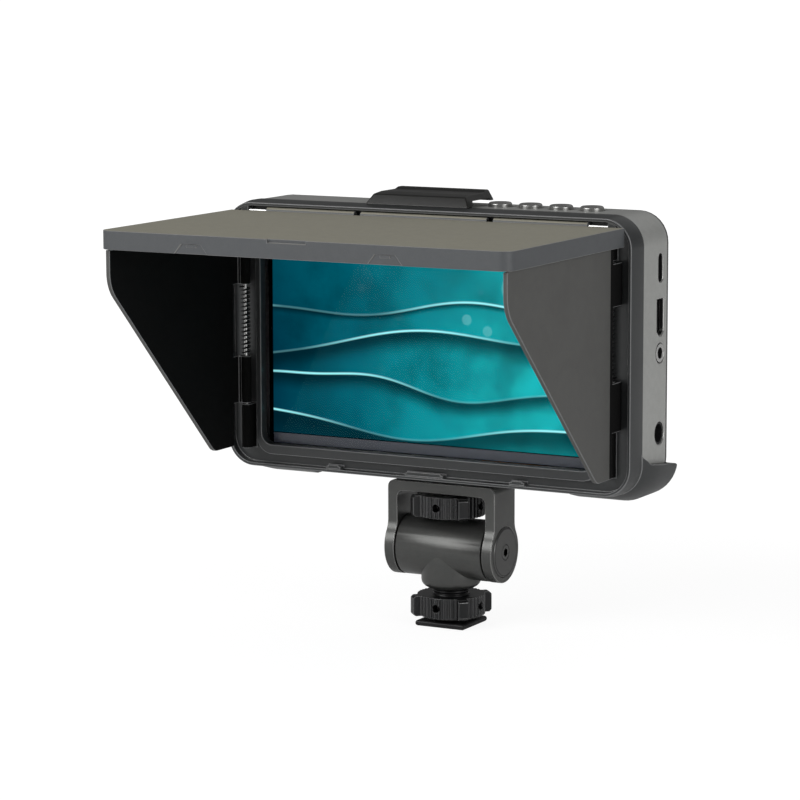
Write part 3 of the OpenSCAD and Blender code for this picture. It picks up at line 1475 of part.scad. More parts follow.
// Least distance between the surfaces of two turns, measured on the points
function spring_gap(path) = min([
    for (i = [3 : len(path) - 12], j = [i + 6 : i + 11]) norm(path[i] - path[j]) - spring_wire
]);
// A tube of six sides along a path, each ring square to the path there
module wire(path, d) {
    sides = 6;
    n = len(path);
    rings = [for (i = [0 : n - 1])
        let (
            ahead = unit(path[min(i + 1, n - 1)] - path[max(i - 1, 0)]),
            across = unit(cross(ahead, [0, 0, 1])),
            up = cross(across, ahead)
        )
        for (k = [0 : sides - 1])
            path[i] + d / 2 * (cos(360 / sides * k) * across + sin(360 / sides * k) * up)];
    skin = [for (i = [0 : n - 2], k = [0 : sides - 1])
        let (a = i * sides + k, b = i * sides + (k + 1) % sides)
        each [[a, b, b + sides], [a, b + sides, a + sides]]];
    ends = [for (k = [1 : sides - 2])
        each [[0, k + 1, k], [(n - 1) * sides, (n - 1) * sides + k, (n - 1) * sides + k + 1]]];
    polyhedron(points = rings, faces = concat(skin, ends));
}
echo(spring_gap = spring_gap(spring_path(channel_depth - right_axis_y)));

module right_hinge_spring() {
    color("#3d4043") at_hood() translate([side_axis_x, right_axis_y, 0])
        wire(spring_path(channel_depth - right_axis_y), spring_wire);
}
module left_hinge_spring() {
    color("#3d4043") at_hood() mirror([1, 0, 0]) translate([side_axis_x, left_axis_y, 0])
        wire(spring_path(channel_depth - left_axis_y), spring_wire);
}

shoe_foot();
clamp_washer();
lower_lock_wheel();
tilt_barrel();
pivot_shaft();
pivot_screw();
left_friction_washer();
right_friction_washer();
yoke();
left_pivot_cap();
right_pivot_cap();
yoke_pad();
upper_lock_wheel();
camera_screw();
threaded_insert();
housing();
rear_cover();
case_screws();
cover_glass();
lcd_panel();
backlight();
mid_plate();
main_board();
heat_spreader();
ribbon_cable();
button_board();
tact_switches();
button_1();
button_2();
button_3();
button_4();
usb_c_port();
hdmi_port();
headphone_jack();
dc_jack();
battery_plate();
battery_contacts();
battery_latch();
hood_frame();
top_grip();
top_panel();
top_hinge_pins();
left_flap();
right_flap();
left_hinge_pin();
right_hinge_pin();
left_hinge_spring();
right_hinge_spring();
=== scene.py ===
"""The looks of a camera field monitor with a folding sun hood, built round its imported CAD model.

Everything is in metres, in the frame of the CAD: the origin lies in the middle of the shoe foot's
underside, X points to the monitor's right edge, Y away from the viewer and Z up. Each sub-assembly is
a class that holds its sizes and dresses its own nodes; a finish is a frozen dataclass.
"""

import logging
import math
from dataclasses import dataclass
from enum import Enum
from typing import Callable, Iterable, Sequence

import bmesh
import bpy
from mathutils import Matrix, Vector


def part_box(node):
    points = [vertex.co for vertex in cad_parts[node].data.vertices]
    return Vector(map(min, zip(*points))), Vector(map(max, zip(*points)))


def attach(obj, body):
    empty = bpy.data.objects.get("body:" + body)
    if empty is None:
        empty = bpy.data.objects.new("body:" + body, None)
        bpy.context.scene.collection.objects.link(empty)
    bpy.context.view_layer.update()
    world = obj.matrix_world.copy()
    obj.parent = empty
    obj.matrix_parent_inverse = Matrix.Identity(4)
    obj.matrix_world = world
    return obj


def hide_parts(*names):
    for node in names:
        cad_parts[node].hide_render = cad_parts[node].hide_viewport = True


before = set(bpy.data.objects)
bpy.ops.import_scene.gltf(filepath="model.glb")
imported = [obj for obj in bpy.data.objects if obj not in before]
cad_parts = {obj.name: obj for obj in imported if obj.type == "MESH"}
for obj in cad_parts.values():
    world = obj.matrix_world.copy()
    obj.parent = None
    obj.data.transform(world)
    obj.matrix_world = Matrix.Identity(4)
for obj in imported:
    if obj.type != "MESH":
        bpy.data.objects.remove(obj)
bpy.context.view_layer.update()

LOG = logging.getLogger("field_monitor")
MM = 0.001
Colour = tuple[float, float, float]


# ---------------------------------------------------------------- shader building


class Sheet:
    """Places and joins nodes in one shader tree, as on a drawing sheet."""

    def __init__(self, tree: bpy.types.NodeTree) -> None:
        """Keeps the tree that the nodes go into."""
        self.tree = tree

    def add(self, kind: str, inputs: dict | None = None, **settings: object) -> bpy.types.Node:
        """Adds a node.

        Args:
            kind: Blender's name of the node type.
            inputs: a value or an output socket for each input, by its name or number.
            **settings: properties of the node itself.

        Returns:
            The new node.
        """
        node = self.tree.nodes.new(kind)
        for name, value in settings.items():
            setattr(node, name, value)
        for name, value in (inputs or {}).items():
            self.feed(node.inputs[name], value)
        return node

    def feed(self, socket: bpy.types.NodeSocket, value: object) -> None:
        """Links an output socket to an input, or sets the input to a plain value."""
        if isinstance(value, bpy.types.NodeSocket):
            self.tree.links.new(value, socket)
        elif value is not None:
            socket.default_value = value

    def math(
        self, operation: str, a: object, b: object = None, c: object = None, clamp: bool = False,
    ) -> bpy.types.NodeSocket:
        """Adds a Math node and returns its output."""
        node = self.add("ShaderNodeMath", operation=operation, use_clamp=clamp)
        for socket, value in zip(node.inputs, (a, b, c)):
            self.feed(socket, value)
        return node.outputs[0]

    def fit(
        self, value: object, low: float, high: float, to_low: float = 0.0, to_high: float = 1.0,
        smooth: bool = False,
    ) -> bpy.types.NodeSocket:
        """Maps a value from one range to another, held within it."""
        node = self.add("ShaderNodeMapRange", interpolation_type="SMOOTHSTEP" if smooth else "LINEAR")
        for name, number in zip(
            ("Value", "From Min", "From Max", "To Min", "To Max"), (value, low, high, to_low, to_high)
        ):
            self.feed(node.inputs[name], number)
        return node.outputs["Result"]

    def mix(self, factor: object, a: object, b: object, blend: str = "MIX") -> bpy.types.NodeSocket:
        """Mixes two colours and returns the result."""
        node = self.add("ShaderNodeMix", data_type="RGBA", blend_type=blend)
        self.feed(node.inputs[0], factor)
        for socket, value in ((node.inputs[6], a), (node.inputs[7], b)):
            self.feed(socket, (*value, 1.0) if isinstance(value, tuple) and len(value) == 3 else value)
        return node.outputs[2]

    def place(self) -> bpy.types.NodeSocket:
        """Returns the point in the piece's own coordinates, in metres, which move with the piece."""
        return self.add("ShaderNodeTexCoord").outputs["Object"]


class Effect(Enum):
    """The shader groups that more than one finish shares."""

    GRAIN = "fine_grain"
    MARKS = "handling_marks"
    RINGS = "lathe_rings"
    LINES = "brushed_lines"


class EffectGroups:
    """Builds each shared shader group once and hands it out."""

    def __init__(self) -> None:
        """Starts with no group built."""
        self._built: dict[Effect, bpy.types.NodeTree] = {}

    def get(self, effect: Effect) -> bpy.types.NodeTree:
        """Returns the group of an effect, built on its first use."""
        if effect not in self._built:
            maker = {
                Effect.GRAIN: self._fine_grain,
                Effect.MARKS: self._handling_marks,
                Effect.RINGS: self._lathe_rings,
                Effect.LINES: self._brushed_lines,
            }[effect]
            self._built[effect] = maker(effect.value)
        return self._built[effect]

    @staticmethod
    def open_group(name: str, inputs: dict[str, tuple[str, object]], outputs: dict[str, str]) -> tuple[
        Sheet, bpy.types.Node, bpy.types.Node
    ]:
        """Makes an empty group.

        Args:
            name: the group's name.
            inputs: socket type and default for each input.
            outputs: socket type for each output.

        Returns:
            The group's sheet, its input node and its output node.
        """
        tree = bpy.data.node_groups.new(name, "ShaderNodeTree")
        for label, (kind, default) in inputs.items():
            socket = tree.interface.new_socket(label, in_out="INPUT", socket_type=kind)
            if default is not None:
                socket.default_value = default
        for label, kind in outputs.items():
            tree.interface.new_socket(label, in_out="OUTPUT", socket_type=kind)
        sheet = Sheet(tree)
        return sheet, sheet.add("NodeGroupInput"), sheet.add("NodeGroupOutput")

    def _fine_grain(self, name: str) -> bpy.types.NodeTree:
        """Builds the grain of blasted metal and of moulded plastic: small peaks and a little shade."""
        sheet, start, end = self.open_group(
            name, {"Scale": ("NodeSocketFloat", 2500.0)}, {
                "Height": "NodeSocketFloat", "Shade": "NodeSocketFloat"
            }
        )
        place = sheet.place()
        fine = sheet.add(
            "ShaderNodeTexNoise",
            {"Vector": place, "Scale": start.outputs["Scale"], "Detail": 3.0, "Roughness": 0.6}
        )
        wide = sheet.add(
            "ShaderNodeTexNoise",
            {"Vector": place, "Scale": sheet.math("MULTIPLY", start.outputs["Scale"], 0.13), "Detail": 2.0}
        )
        sheet.feed(end.inputs["Height"], fine.outputs["Fac"])
        mixed = sheet.math(
            "ADD", sheet.math("MULTIPLY", fine.outputs["Fac"], 0.6),
            sheet.math("MULTIPLY", wide.outputs["Fac"], 0.4)
        )
        sheet.feed(end.inputs["Shade"], sheet.fit(mixed, 0.3, 0.7))
        return sheet.tree

    def _handling_marks(self, name: str) -> bpy.types.NodeTree:
        """Builds the faint smudges and settled dust of a thing that is carried about."""
        sheet, start, end = self.open_group(
            name,
            {
                "Colour": ("NodeSocketColor", (0.1, 0.1, 0.1, 1.0)), "Roughness": ("NodeSocketFloat", 0.5),
                "Shade": ("NodeSocketFloat", 0.5), "Tint": ("NodeSocketFloat", 0.1),
                "Smudge": ("NodeSocketFloat", 0.05), "Dust": ("NodeSocketFloat", 0.02),
            },
            {"Colour": "NodeSocketColor", "Roughness": "NodeSocketFloat"},
        )
        place = sheet.place()
        smear = sheet.add(
            "ShaderNodeTexNoise",
            {"Vector": place, "Scale": 55.0, "Detail": 4.0, "Roughness": 0.55, "Distortion": 0.6}
        )
        specks = sheet.add(
            "ShaderNodeTexNoise", {"Vector": place, "Scale": 900.0, "Detail": 2.0, "Roughness": 0.7}
        )
        smudge = sheet.fit(smear.outputs["Fac"], 0.42, 0.68, smooth=True)
        up = sheet.add(
            "ShaderNodeSeparateXYZ", {"Vector": sheet.add("ShaderNodeNewGeometry").outputs["Normal"]}
        ).outputs["Z"]
        dusty = sheet.math(
            "MULTIPLY", sheet.fit(specks.outputs["Fac"], 0.55, 0.75), sheet.fit(up, 0.2, 1.0, 0.25, 1.0)
        )
        shade = sheet.math(
            "MULTIPLY_ADD", sheet.math("SUBTRACT", start.outputs["Shade"], 0.5), start.outputs["Tint"], 1.0
        )
        tinted = sheet.add(
            "ShaderNodeVectorMath", {0: start.outputs["Colour"], "Scale": shade}, operation="SCALE"
        ).outputs[0]
        dust = sheet.math("MULTIPLY", dusty, start.outputs["Dust"])
        sheet.feed(end.inputs["Colour"], sheet.mix(dust, tinted, (0.42, 0.4, 0.37)))
        rough = sheet.math(
            "MULTIPLY_ADD", sheet.math("SUBTRACT", smudge, 0.4), start.outputs["Smudge"],
            start.outputs["Roughness"]
        )
        sheet.feed(
            end.inputs["Roughness"], sheet.math("ADD", rough, sheet.math("MULTIPLY", dusty, 0.05), clamp=True)
        )
        return sheet.tree

    def _lathe_rings(self, name: str) -> bpy.types.NodeTree:
        """Builds the fine rings that a lathe leaves about an axis through a centre."""
        sheet, start, end = self.open_group(
            name,
            {
                "Centre": ("NodeSocketVector", (0.0, 0.0, 0.0)),
                "Across": ("NodeSocketVector", (1.0, 1.0, 0.0)), "Pitch": ("NodeSocketFloat", 0.0002)
            },
            {"Height": "NodeSocketFloat", "Shade": "NodeSocketFloat"},
        )
        away = sheet.add(
            "ShaderNodeVectorMath", {0: sheet.place(), 1: start.outputs["Centre"]}, operation="SUBTRACT"
        ).outputs[0]
        flat = sheet.add(
            "ShaderNodeVectorMath", {0: away, 1: start.outputs["Across"]}, operation="MULTIPLY"
        ).outputs[0]
        radius = sheet.add("ShaderNodeVectorMath", {0: flat}, operation="LENGTH").outputs["Value"]
        turns = sheet.math("DIVIDE", radius, start.outputs["Pitch"])
        noise = sheet.add(
            "ShaderNodeTexNoise", {"W": turns, "Scale": 1.0, "Detail": 3.0}, noise_dimensions="1D"
        )
        sheet.feed(end.inputs["Height"], noise.outputs["Fac"])
        sheet.feed(end.inputs["Shade"], sheet.fit(noise.outputs["Fac"], 0.3, 0.7))
        return sheet.tree

    def _brushed_lines(self, name: str) -> bpy.types.NodeTree:
        """Builds straight drawn lines, long along the direction where the stretch is small."""
        sheet, start, end = self.open_group(
            name, {"Stretch": ("NodeSocketVector", (40.0, 3000.0, 3000.0))}, {
                "Height": "NodeSocketFloat", "Shade": "NodeSocketFloat"
            }
        )
        drawn = sheet.add(
            "ShaderNodeVectorMath", {0: sheet.place(), 1: start.outputs["Stretch"]}, operation="MULTIPLY"
        ).outputs[0]
        noise = sheet.add(
            "ShaderNodeTexNoise", {"Vector": drawn, "Scale": 1.0, "Detail": 3.0, "Roughness": 0.65}
        )
        sheet.feed(end.inputs["Height"], noise.outputs["Fac"])
        sheet.feed(end.inputs["Shade"], sheet.fit(noise.outputs["Fac"], 0.3, 0.7))
        return sheet.tree


EFFECTS = EffectGroups()


@dataclass(frozen=True)
class Finish:
    """One surface finish: its colour, gloss, the texture in its surface and the marks of use on it."""

    name: str
    colour: Colour
    roughness: float = 0.5
    metallic: float = 0.0
    texture: Effect = Effect.GRAIN
    grain_scale: float = 2500.0
    relief: float = 0.00001
    relief_strength: float = 0.35
    tint: float = 0.16
    smudge: float = 0.06
    dust: float = 0.02
    specular: float = 0.5
    coat: float = 0.0
    centre: Colour = (0.0, 0.0, 0.0)
    across: Colour = (1.0, 1.0, 0.0)
    stretch: Colour = (40.0, 3000.0, 3000.0)
    sheen: float = 0.0

    def material(self) -> bpy.types.Material:
        """Returns the finish as a material, built on its first use."""
        known = bpy.data.materials.get(self.name)
        if known:
            return known
        material = bpy.data.materials.new(self.name)
        material.use_nodes = True
        sheet = Sheet(material.node_tree)
        shader = material.node_tree.nodes["Principled BSDF"]
        effect = sheet.add("ShaderNodeGroup", node_tree=EFFECTS.get(self.texture))
        if self.texture is Effect.GRAIN:
            sheet.feed(effect.inputs["Scale"], self.grain_scale)
        elif self.texture is Effect.RINGS:
            sheet.feed(effect.inputs["Centre"], self.centre)
            sheet.feed(effect.inputs["Across"], self.across)
        else:
            sheet.feed(effect.inputs["Stretch"], self.stretch)
        marks = sheet.add(
            "ShaderNodeGroup",
            {},
            node_tree=EFFECTS.get(Effect.MARKS),
        )
        for label, value in (
            ("Colour", (*self.colour, 1.0)), ("Roughness", self.roughness), (
                "Shade", effect.outputs["Shade"]
            ),
            ("Tint", self.tint), ("Smudge", self.smudge), ("Dust", self.dust),
        ):
            sheet.feed(marks.inputs[label], value)
        bump = sheet.add(
            "ShaderNodeBump",
            {"Strength": self.relief_strength, "Distance": self.relief, "Height": effect.outputs["Height"]}
        )
        for label, value in (
            ("Base Color", marks.outputs["Colour"]), ("Roughness", marks.outputs["Roughness"]), (
                "Normal", bump.outputs["Normal"]
            ),
            ("Metallic", self.metallic), ("Specular IOR Level", self.specular), ("Coat Weight", self.coat),
            ("Sheen Weight", self.sheen),
        ):
            sheet.feed(shader.inputs[label], value)
        return material


HOOD_PLASTIC = Finish("hood_satin_black", (0.034, 0.036, 0.037), 0.34, relief_strength=0.25, dust=0.01)
# Painted highlight: the hood's rounded edges are painted far lighter than its black plastic.
HOOD_EDGE_HIGHLIGHT = Finish("hood_edge_painted_highlight", (0.18, 0.182, 0.185), 0.26, relief_strength=0.15, dust=0.0)
GRIP_BLACK = Finish("grip_gloss_black", (0.012, 0.012, 0.011), 0.3, relief_strength=0.15, dust=0.01)
# The top panel's plastic comes in two copies, split by which way a face points: a light warm one on its upward
# faces (painted light) and a dark cool one on its sides (painted shade).
PANEL_TOP_LIT = Finish("panel_top_painted_light", (0.3, 0.287, 0.23), 0.6, relief_strength=0.3)
PANEL_SIDE_SHADED = Finish("panel_side_painted_shade", (0.078, 0.083, 0.088), 0.45, relief_strength=0.3)
# Painted highlight: the top panel's rounded edges are painted lighter than the panel.
PANEL_EDGE_HIGHLIGHT = Finish("panel_edge_painted_highlight", (0.2, 0.2, 0.2), 0.35, dust=0.0)
FLAP_OUTER = Finish("flap_satin_grey", (0.075, 0.075, 0.071), 0.52, relief_strength=0.25)
# Near-black matt of the flaps' inner lining, also used as painted shade on the flaps' outer faces by the hinges
# and on the frame's channel walls.
FLAP_LINING_AND_SHADE = Finish(
    "flap_lining_and_painted_shade", (0.004, 0.004, 0.004), 0.9, relief_strength=0.4, specular=0.12, dust=0.004
)
CASE_METAL = Finish(
    "case_blasted_grey", (0.42, 0.425, 0.41), 0.42, 0.45, relief_strength=0.3, grain_scale=3200.0, dust=0.01
)
CASE_EDGE = Finish("case_edge_bright", (0.45, 0.45, 0.44), 0.28, 0.85, relief_strength=0.1, dust=0.0)
MOUNT_METAL = Finish(
    "mount_anodised", (0.1, 0.101, 0.098), 0.34, 0.7, relief_strength=0.2, grain_scale=3600.0
)
MOUNT_EDGE = Finish("mount_edge_worn", (0.24, 0.24, 0.235), 0.28, 0.85, relief_strength=0.1, dust=0.0)
# Black oxide of the wheels, also laid on the barrel's thread below its shoulder as painted shade.
WHEEL_OXIDE_AND_STEM_SHADE = Finish("wheel_black_oxide_and_painted_stem_shade", (0.009, 0.009, 0.01), 0.3, 0.3, relief_strength=0.25)
FOOT_METAL = Finish("foot_black_anodised", (0.012, 0.012, 0.013), 0.42, 0.3, relief_strength=0.25)
WHEEL_EDGE = Finish("wheel_edge_worn", (0.13, 0.13, 0.132), 0.26, 0.7, dust=0.0)
CAP_METAL = Finish(
    "cap_turned_grey", (0.1, 0.1, 0.098), 0.36, 0.7, Effect.RINGS, centre=(0.0, 0.0, 0.0268),
    across=(0.0, 1.0, 1.0)
)
BUTTON_METAL = Finish("button_turned_grey", (0.34, 0.34, 0.33), 0.3, 0.85, relief_strength=0.15)
STEEL = Finish("bright_steel", (0.6, 0.6, 0.59), 0.24, 0.95, Effect.LINES)
SPRING_STEEL = Finish("spring_dark_steel", (0.02, 0.021, 0.022), 0.32, 0.6)
DARK_STEEL = Finish("screw_black_oxide", (0.12, 0.12, 0.12), 0.35, 0.8)
BRASS = Finish("insert_brass", (0.62, 0.44, 0.16), 0.3, 0.95, Effect.LINES)
GOLD = Finish("contact_gold", (0.8, 0.56, 0.2), 0.22, 1.0)
RUBBER = Finish(
    "pad_ribbed_rubber", (0.018, 0.018, 0.018), 0.85, relief=0.00006, relief_strength=0.6, grain_scale=1500.0
)
# Black plastic of the sockets, also used as painted shade on the housing's socket-hole walls and for the cap
# rings.
PORT_BLACK_AND_SHADE = Finish("port_black_plastic_and_painted_shade", (0.012, 0.012, 0.013), 0.45)
BOARD_GREEN = Finish(
    "board_solder_mask", (0.01, 0.09, 0.045), 0.35, texture=Effect.LINES, stretch=(900.0, 900.0, 260.0),
    tint=0.7, coat=0.3
)
CHIP_BLACK = Finish("switch_black", (0.02, 0.02, 0.022), 0.5)
SPREADER = Finish("heat_spreader_drawn", (0.7, 0.7, 0.7), 0.35, 0.95, Effect.LINES)
FLEX_AMBER = Finish(
    "flex_amber", (0.5, 0.2, 0.03), 0.35, texture=Effect.LINES, stretch=(2600.0, 20.0, 20.0), tint=0.7
)
BACKLIGHT = Finish("backlight_white", (0.75, 0.76, 0.78), 0.5)
MID_PLATE = Finish("mid_plate_drawn", (0.5, 0.5, 0.5), 0.38, 0.9, Effect.LINES)
WASHER_NYLON = Finish("washer_nylon", (0.62, 0.6, 0.52), 0.45)
BATTERY_PLASTIC = Finish(
    "battery_plate_plastic", (0.022, 0.022, 0.024), 0.5, relief_strength=0.5, relief=0.00002
)
REAR_COVER = Finish("rear_cover_grey", (0.1, 0.1, 0.1), 0.42, 0.5, relief_strength=0.35)
LCD_BORDER = Finish("display_black_border", (0.006, 0.006, 0.009), 0.25)
SCREEN_STRIP = Finish("screen_lower_strip", (0.035, 0.042, 0.06), 0.3)


# ---------------------------------------------------------------- mesh making

# Planes (axis, place in mm) that cut large flat faces with holes into simple ones.
CUTS: dict[str, tuple[tuple[int, float], ...]] = {
    "housing": ((0, -22.6), (0, 22.6)),
    "battery_plate": ((2, 98.8), (0, 0.0)),
    "hood_frame": ((0, -38.3), (0, 0.0), (0, 38.3)),
    "top_panel": ((0, -60.5), (0, 0.0), (0, 60.5)),
}


class Workbench:
    """Makes meshes and turns CAD nodes into finished pieces."""

    @staticmethod
    def piece(
        name: str, mesh: bmesh.types.BMesh, materials: Sequence[Finish], smooth: bool = True
    ) -> bpy.types.Object:
        """Turns a bmesh into an object with finishes.

        Args:
            name: the piece's name.
            mesh: its mesh, which is freed.
            materials: its finishes, one for each material number.
            smooth: whether its faces are shaded smooth.

        Returns:
            The object, linked to the scene.
        """
        data = bpy.data.meshes.new(name)
        bmesh.ops.recalc_face_normals(mesh, faces=mesh.faces)
        for face in mesh.faces:
            face.smooth = smooth
        mesh.to_mesh(data)
        mesh.free()
        for finish in materials:
            data.materials.append(finish.material())
        made = bpy.data.objects.new(name, data)
        bpy.context.scene.collection.objects.link(made)
        return made

    @staticmethod
    def round_edges(
        made: bpy.types.Object, width: float, segments: int = 2, edge_material: int = -1, angle: float = 32.0
    ) -> bpy.types.Object:
        """Rounds the sharp edges of a piece with a bevel whose faces may take another material."""
        bevel = made.modifiers.new("rounded_edges", "BEVEL")
        bevel.width = width
        bevel.segments = segments
        bevel.limit_method = "ANGLE"
        bevel.angle_limit = math.radians(angle)
        bevel.use_clamp_overlap = False
        bevel.harden_normals = True
        bevel.material = edge_material
        return made

    def refine(
        self, node: str, body: str, finish: Finish, edge: Finish | None = None,
        width: float = 0.2 * MM, segments: int = 2, merge_from_y: float = -1.0,
    ) -> bpy.types.Object:
        """Stands a clean copy with rounded edges in the place of a CAD node.

        Args:
            node: the CAD node.
            body: the CAD body that it rides on.
            finish: the finish of its faces.
            edge: the finish of its rounded edges, or None for the same one.
            width: how wide the rounding is.
            segments: how many faces the rounding has.
            merge_from_y: flat faces in front of this stay in triangles, where a shallow recess needs them.

        Returns:
            The new piece.
        """
        mesh = bmesh.new()
        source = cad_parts[node].data.copy()
        for layer in ("custom_normal",):
            if layer in source.attributes:
                source.attributes.remove(source.attributes[layer])
        mesh.from_mesh(source)
        bpy.data.meshes.remove(source)
        bmesh.ops.remove_doubles(mesh, verts=mesh.verts, dist=0.002 * MM)
        behind = [v for v in mesh.verts if v.co.y > merge_from_y]
        known = set(behind)
        flat_edges = [e for e in mesh.edges if e.verts[0] in known and e.verts[1] in known]
        bmesh.ops.dissolve_limit(mesh, angle_limit=math.radians(0.4), verts=behind, edges=flat_edges)
        for face in mesh.faces:
            face.material_index = 0
        made = self.piece(f"{node}_shell", mesh, [finish] + ([edge] if edge else []))
        for axis, at in CUTS.get(node, ()):
            self.split(made.data, at * MM, axis)
        self.round_edges(made, width, segments, 1 if edge else -1)
        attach(made, body)
        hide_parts(node)
        return made

    @staticmethod
    def split(data: bpy.types.Mesh, at: float, axis: int) -> None:
        """Cuts a mesh's faces in two along the plane across an axis, and keeps both halves."""
        mesh = bmesh.new()
        mesh.from_mesh(data)
        place, along = Vector(), Vector()
        place[axis], along[axis] = at, 1.0
        parts = [*mesh.verts, *mesh.edges, *mesh.faces]
        bmesh.ops.bisect_plane(mesh, geom=parts, dist=0.001 * MM, plane_co=place, plane_no=along)
        mesh.to_mesh(data)
        mesh.free()

    @staticmethod
    def dress(node: str, finish: Finish) -> None:
        """Gives a CAD node that keeps its shape a finish."""
        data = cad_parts[node].data
        data.materials.clear()
        data.materials.append(finish.material())

    @staticmethod
    def skin(
        loops: Sequence[Sequence[Vector]], close_ends: bool = True, joined: bool = False
    ) -> bmesh.types.BMesh:
        """Skins closed loops of the same number of points.

        Args:
            loops: the loops, in order.
            close_ends: whether the first and the last loop are filled.
            joined: whether the last loop joins the first one.

        Returns:
            The mesh.
        """
        mesh = bmesh.new()
        rows = [[mesh.verts.new(p) for p in loop] for loop in loops]
        pairs = list(zip(rows, rows[1:])) + ([(rows[-1], rows[0])] if joined else [])
        for a, b in pairs:
            for i in range(len(a)):
                j = (i + 1) % len(a)
                mesh.faces.new((a[i], a[j], b[j], b[i]))
        if close_ends and not joined:
            mesh.faces.new(rows[0][::-1])
            mesh.faces.new(rows[-1])
        return mesh

    def turned(
        self, profile: Sequence[tuple[float, float]], centre: Vector, axis: Vector, steps: int = 64
    ) -> bmesh.types.BMesh:
        """Turns a profile of (radius, height) about an axis through a centre."""
        axis = axis.normalized()
        across = axis.orthogonal().normalized()
        up = axis.cross(across)
        return self.skin([
            [centre + axis * height + radius * (math.cos(t) * across + math.sin(t) * up)
             for t in (2 * math.pi * k / steps for k in range(steps))]
            for radius, height in profile
        ])


BENCH = Workbench()


# ---------------------------------------------------------------- the object's sub-assemblies


class SubAssembly:
    """A part of the monitor that dresses its own nodes."""

    title = "sub-assembly"

    def build(self) -> int:
        """Builds the sub-assembly's pieces and returns how many there are."""
        raise NotImplementedError

    def report(self) -> None:
        """Builds the sub-assembly and logs it."""
        LOG.info("%s: %d pieces", self.title, self.build())


@dataclass
class ShoeFoot(SubAssembly):
    """The foot that slides into a camera's accessory shoe, with its clamp washer and lower wheel."""

    title = "shoe foot"
    edge: float = 0.25 * MM

    def build(self) -> int:
        """Dresses the foot, the washer and the lower wheel."""
        BENCH.refine("shoe_foot", "base", FOOT_METAL, None, self.edge)
        BENCH.refine("clamp_washer", "clamp_ring", RUBBER, None, 0.12 * MM)
        BENCH.refine("lower_lock_wheel", "lower_wheel", WHEEL_OXIDE_AND_STEM_SHADE, WHEEL_EDGE, 0.18 * MM)
        return 3


@dataclass
class TiltMount(SubAssembly):
    """The barrel, the yoke that tilts on it, the caps, the shaft and the upper wheel."""

    title = "tilt mount"
    edge: float = 0.3 * MM
    groove_in: float = 0.75 * MM
    groove_w: float = 0.3 * MM
    barrel_r: float = 10.5 * MM
    shoulder_drop: float = 3.4 * MM
    fillet: float = 1.2 * MM

    def build(self) -> int:
        """Dresses the barrel, the yoke and what turns in it."""
        self.barrel()
        BENCH.refine("yoke", "yoke", MOUNT_METAL, MOUNT_EDGE, self.edge, 3)
        for side in ("left", "right"):
            BENCH.refine(f"{side}_pivot_cap", "yoke", CAP_METAL, None, 0.2 * MM)
            self.cap_groove_shade(side)
            BENCH.dress(f"{side}_friction_washer", WASHER_NYLON)
        BENCH.refine("pivot_screw", "base", MOUNT_METAL, MOUNT_EDGE, 0.2 * MM)
        BENCH.dress("pivot_shaft", STEEL)
        BENCH.refine("yoke_pad", "yoke", RUBBER, None, 0.2 * MM)
        BENCH.refine("upper_lock_wheel", "upper_wheel", WHEEL_OXIDE_AND_STEM_SHADE, WHEEL_EDGE, 0.18 * MM)
        BENCH.dress("camera_screw", STEEL)
        return 12

    def barrel(self) -> None:
        """Dresses the barrel: a wide fillet where its shoulder meets it, and painted shade below, where the
        thread under the shoulder takes the black wheel finish.
        """
        made = BENCH.refine("tilt_barrel", "base", MOUNT_METAL, None, 0.15 * MM)
        made.data.materials.append(WHEEL_OXIDE_AND_STEM_SHADE.material())
        low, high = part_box("tilt_barrel")
        axis = high.z - self.barrel_r
        shoulder = axis - self.barrel_r - self.shoulder_drop
        # Painted shade: faces below the shoulder take the black wheel finish.
        for face in made.data.polygons:
            if face.center.z < shoulder:
                face.material_index = 1
        weights = made.data.attributes.new("bevel_weight_edge", "FLOAT", "EDGE")
        for edge in made.data.edges:
            ends = [made.data.vertices[i].co for i in edge.vertices]
            out = [math.hypot(p.y, p.z - axis) for p in ends]
            inside = all(abs(p.x) < self.barrel_r + 0.2 * MM and shoulder + 3 * MM < p.z < axis for p in ends)
            if (
                inside and all(abs(r - self.barrel_r) < 0.06 * MM for r in out)
                and abs(ends[0].x - ends[1].x) < 8 * MM
            ):
                weights.data[edge.index].value = 1.0
        fillet = made.modifiers.new("shoulder_fillet", "BEVEL")
        fillet.limit_method = "WEIGHT"
        fillet.width = self.fillet
        fillet.segments = 5
        fillet.use_clamp_overlap = True
        fillet.harden_normals = True
        made.modifiers.move(len(made.modifiers) - 1, 0)

    def cap_groove_shade(self, side: str) -> None:
        """Lays a dark ring round the face of a cap, a hair above it: painted shade of a groove."""
        low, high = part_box(f"{side}_pivot_cap")
        outward = 1.0 if side == "right" else -1.0
        face = high.x if outward > 0 else low.x
        radius = (high.z - low.z) / 2 - self.groove_in
        ring = BENCH.turned(
            [
                (radius, -0.05 * MM), (radius, 0.015 * MM), (radius + self.groove_w, 0.015 * MM),
                (radius + self.groove_w, -0.05 * MM)
            ],
            Vector((face, 0.0, (high.z + low.z) / 2)), Vector((outward, 0.0, 0.0)), 96,
        )
        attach(BENCH.piece(f"{side}_cap_groove_shade", ring, [PORT_BLACK_AND_SHADE]), "yoke")


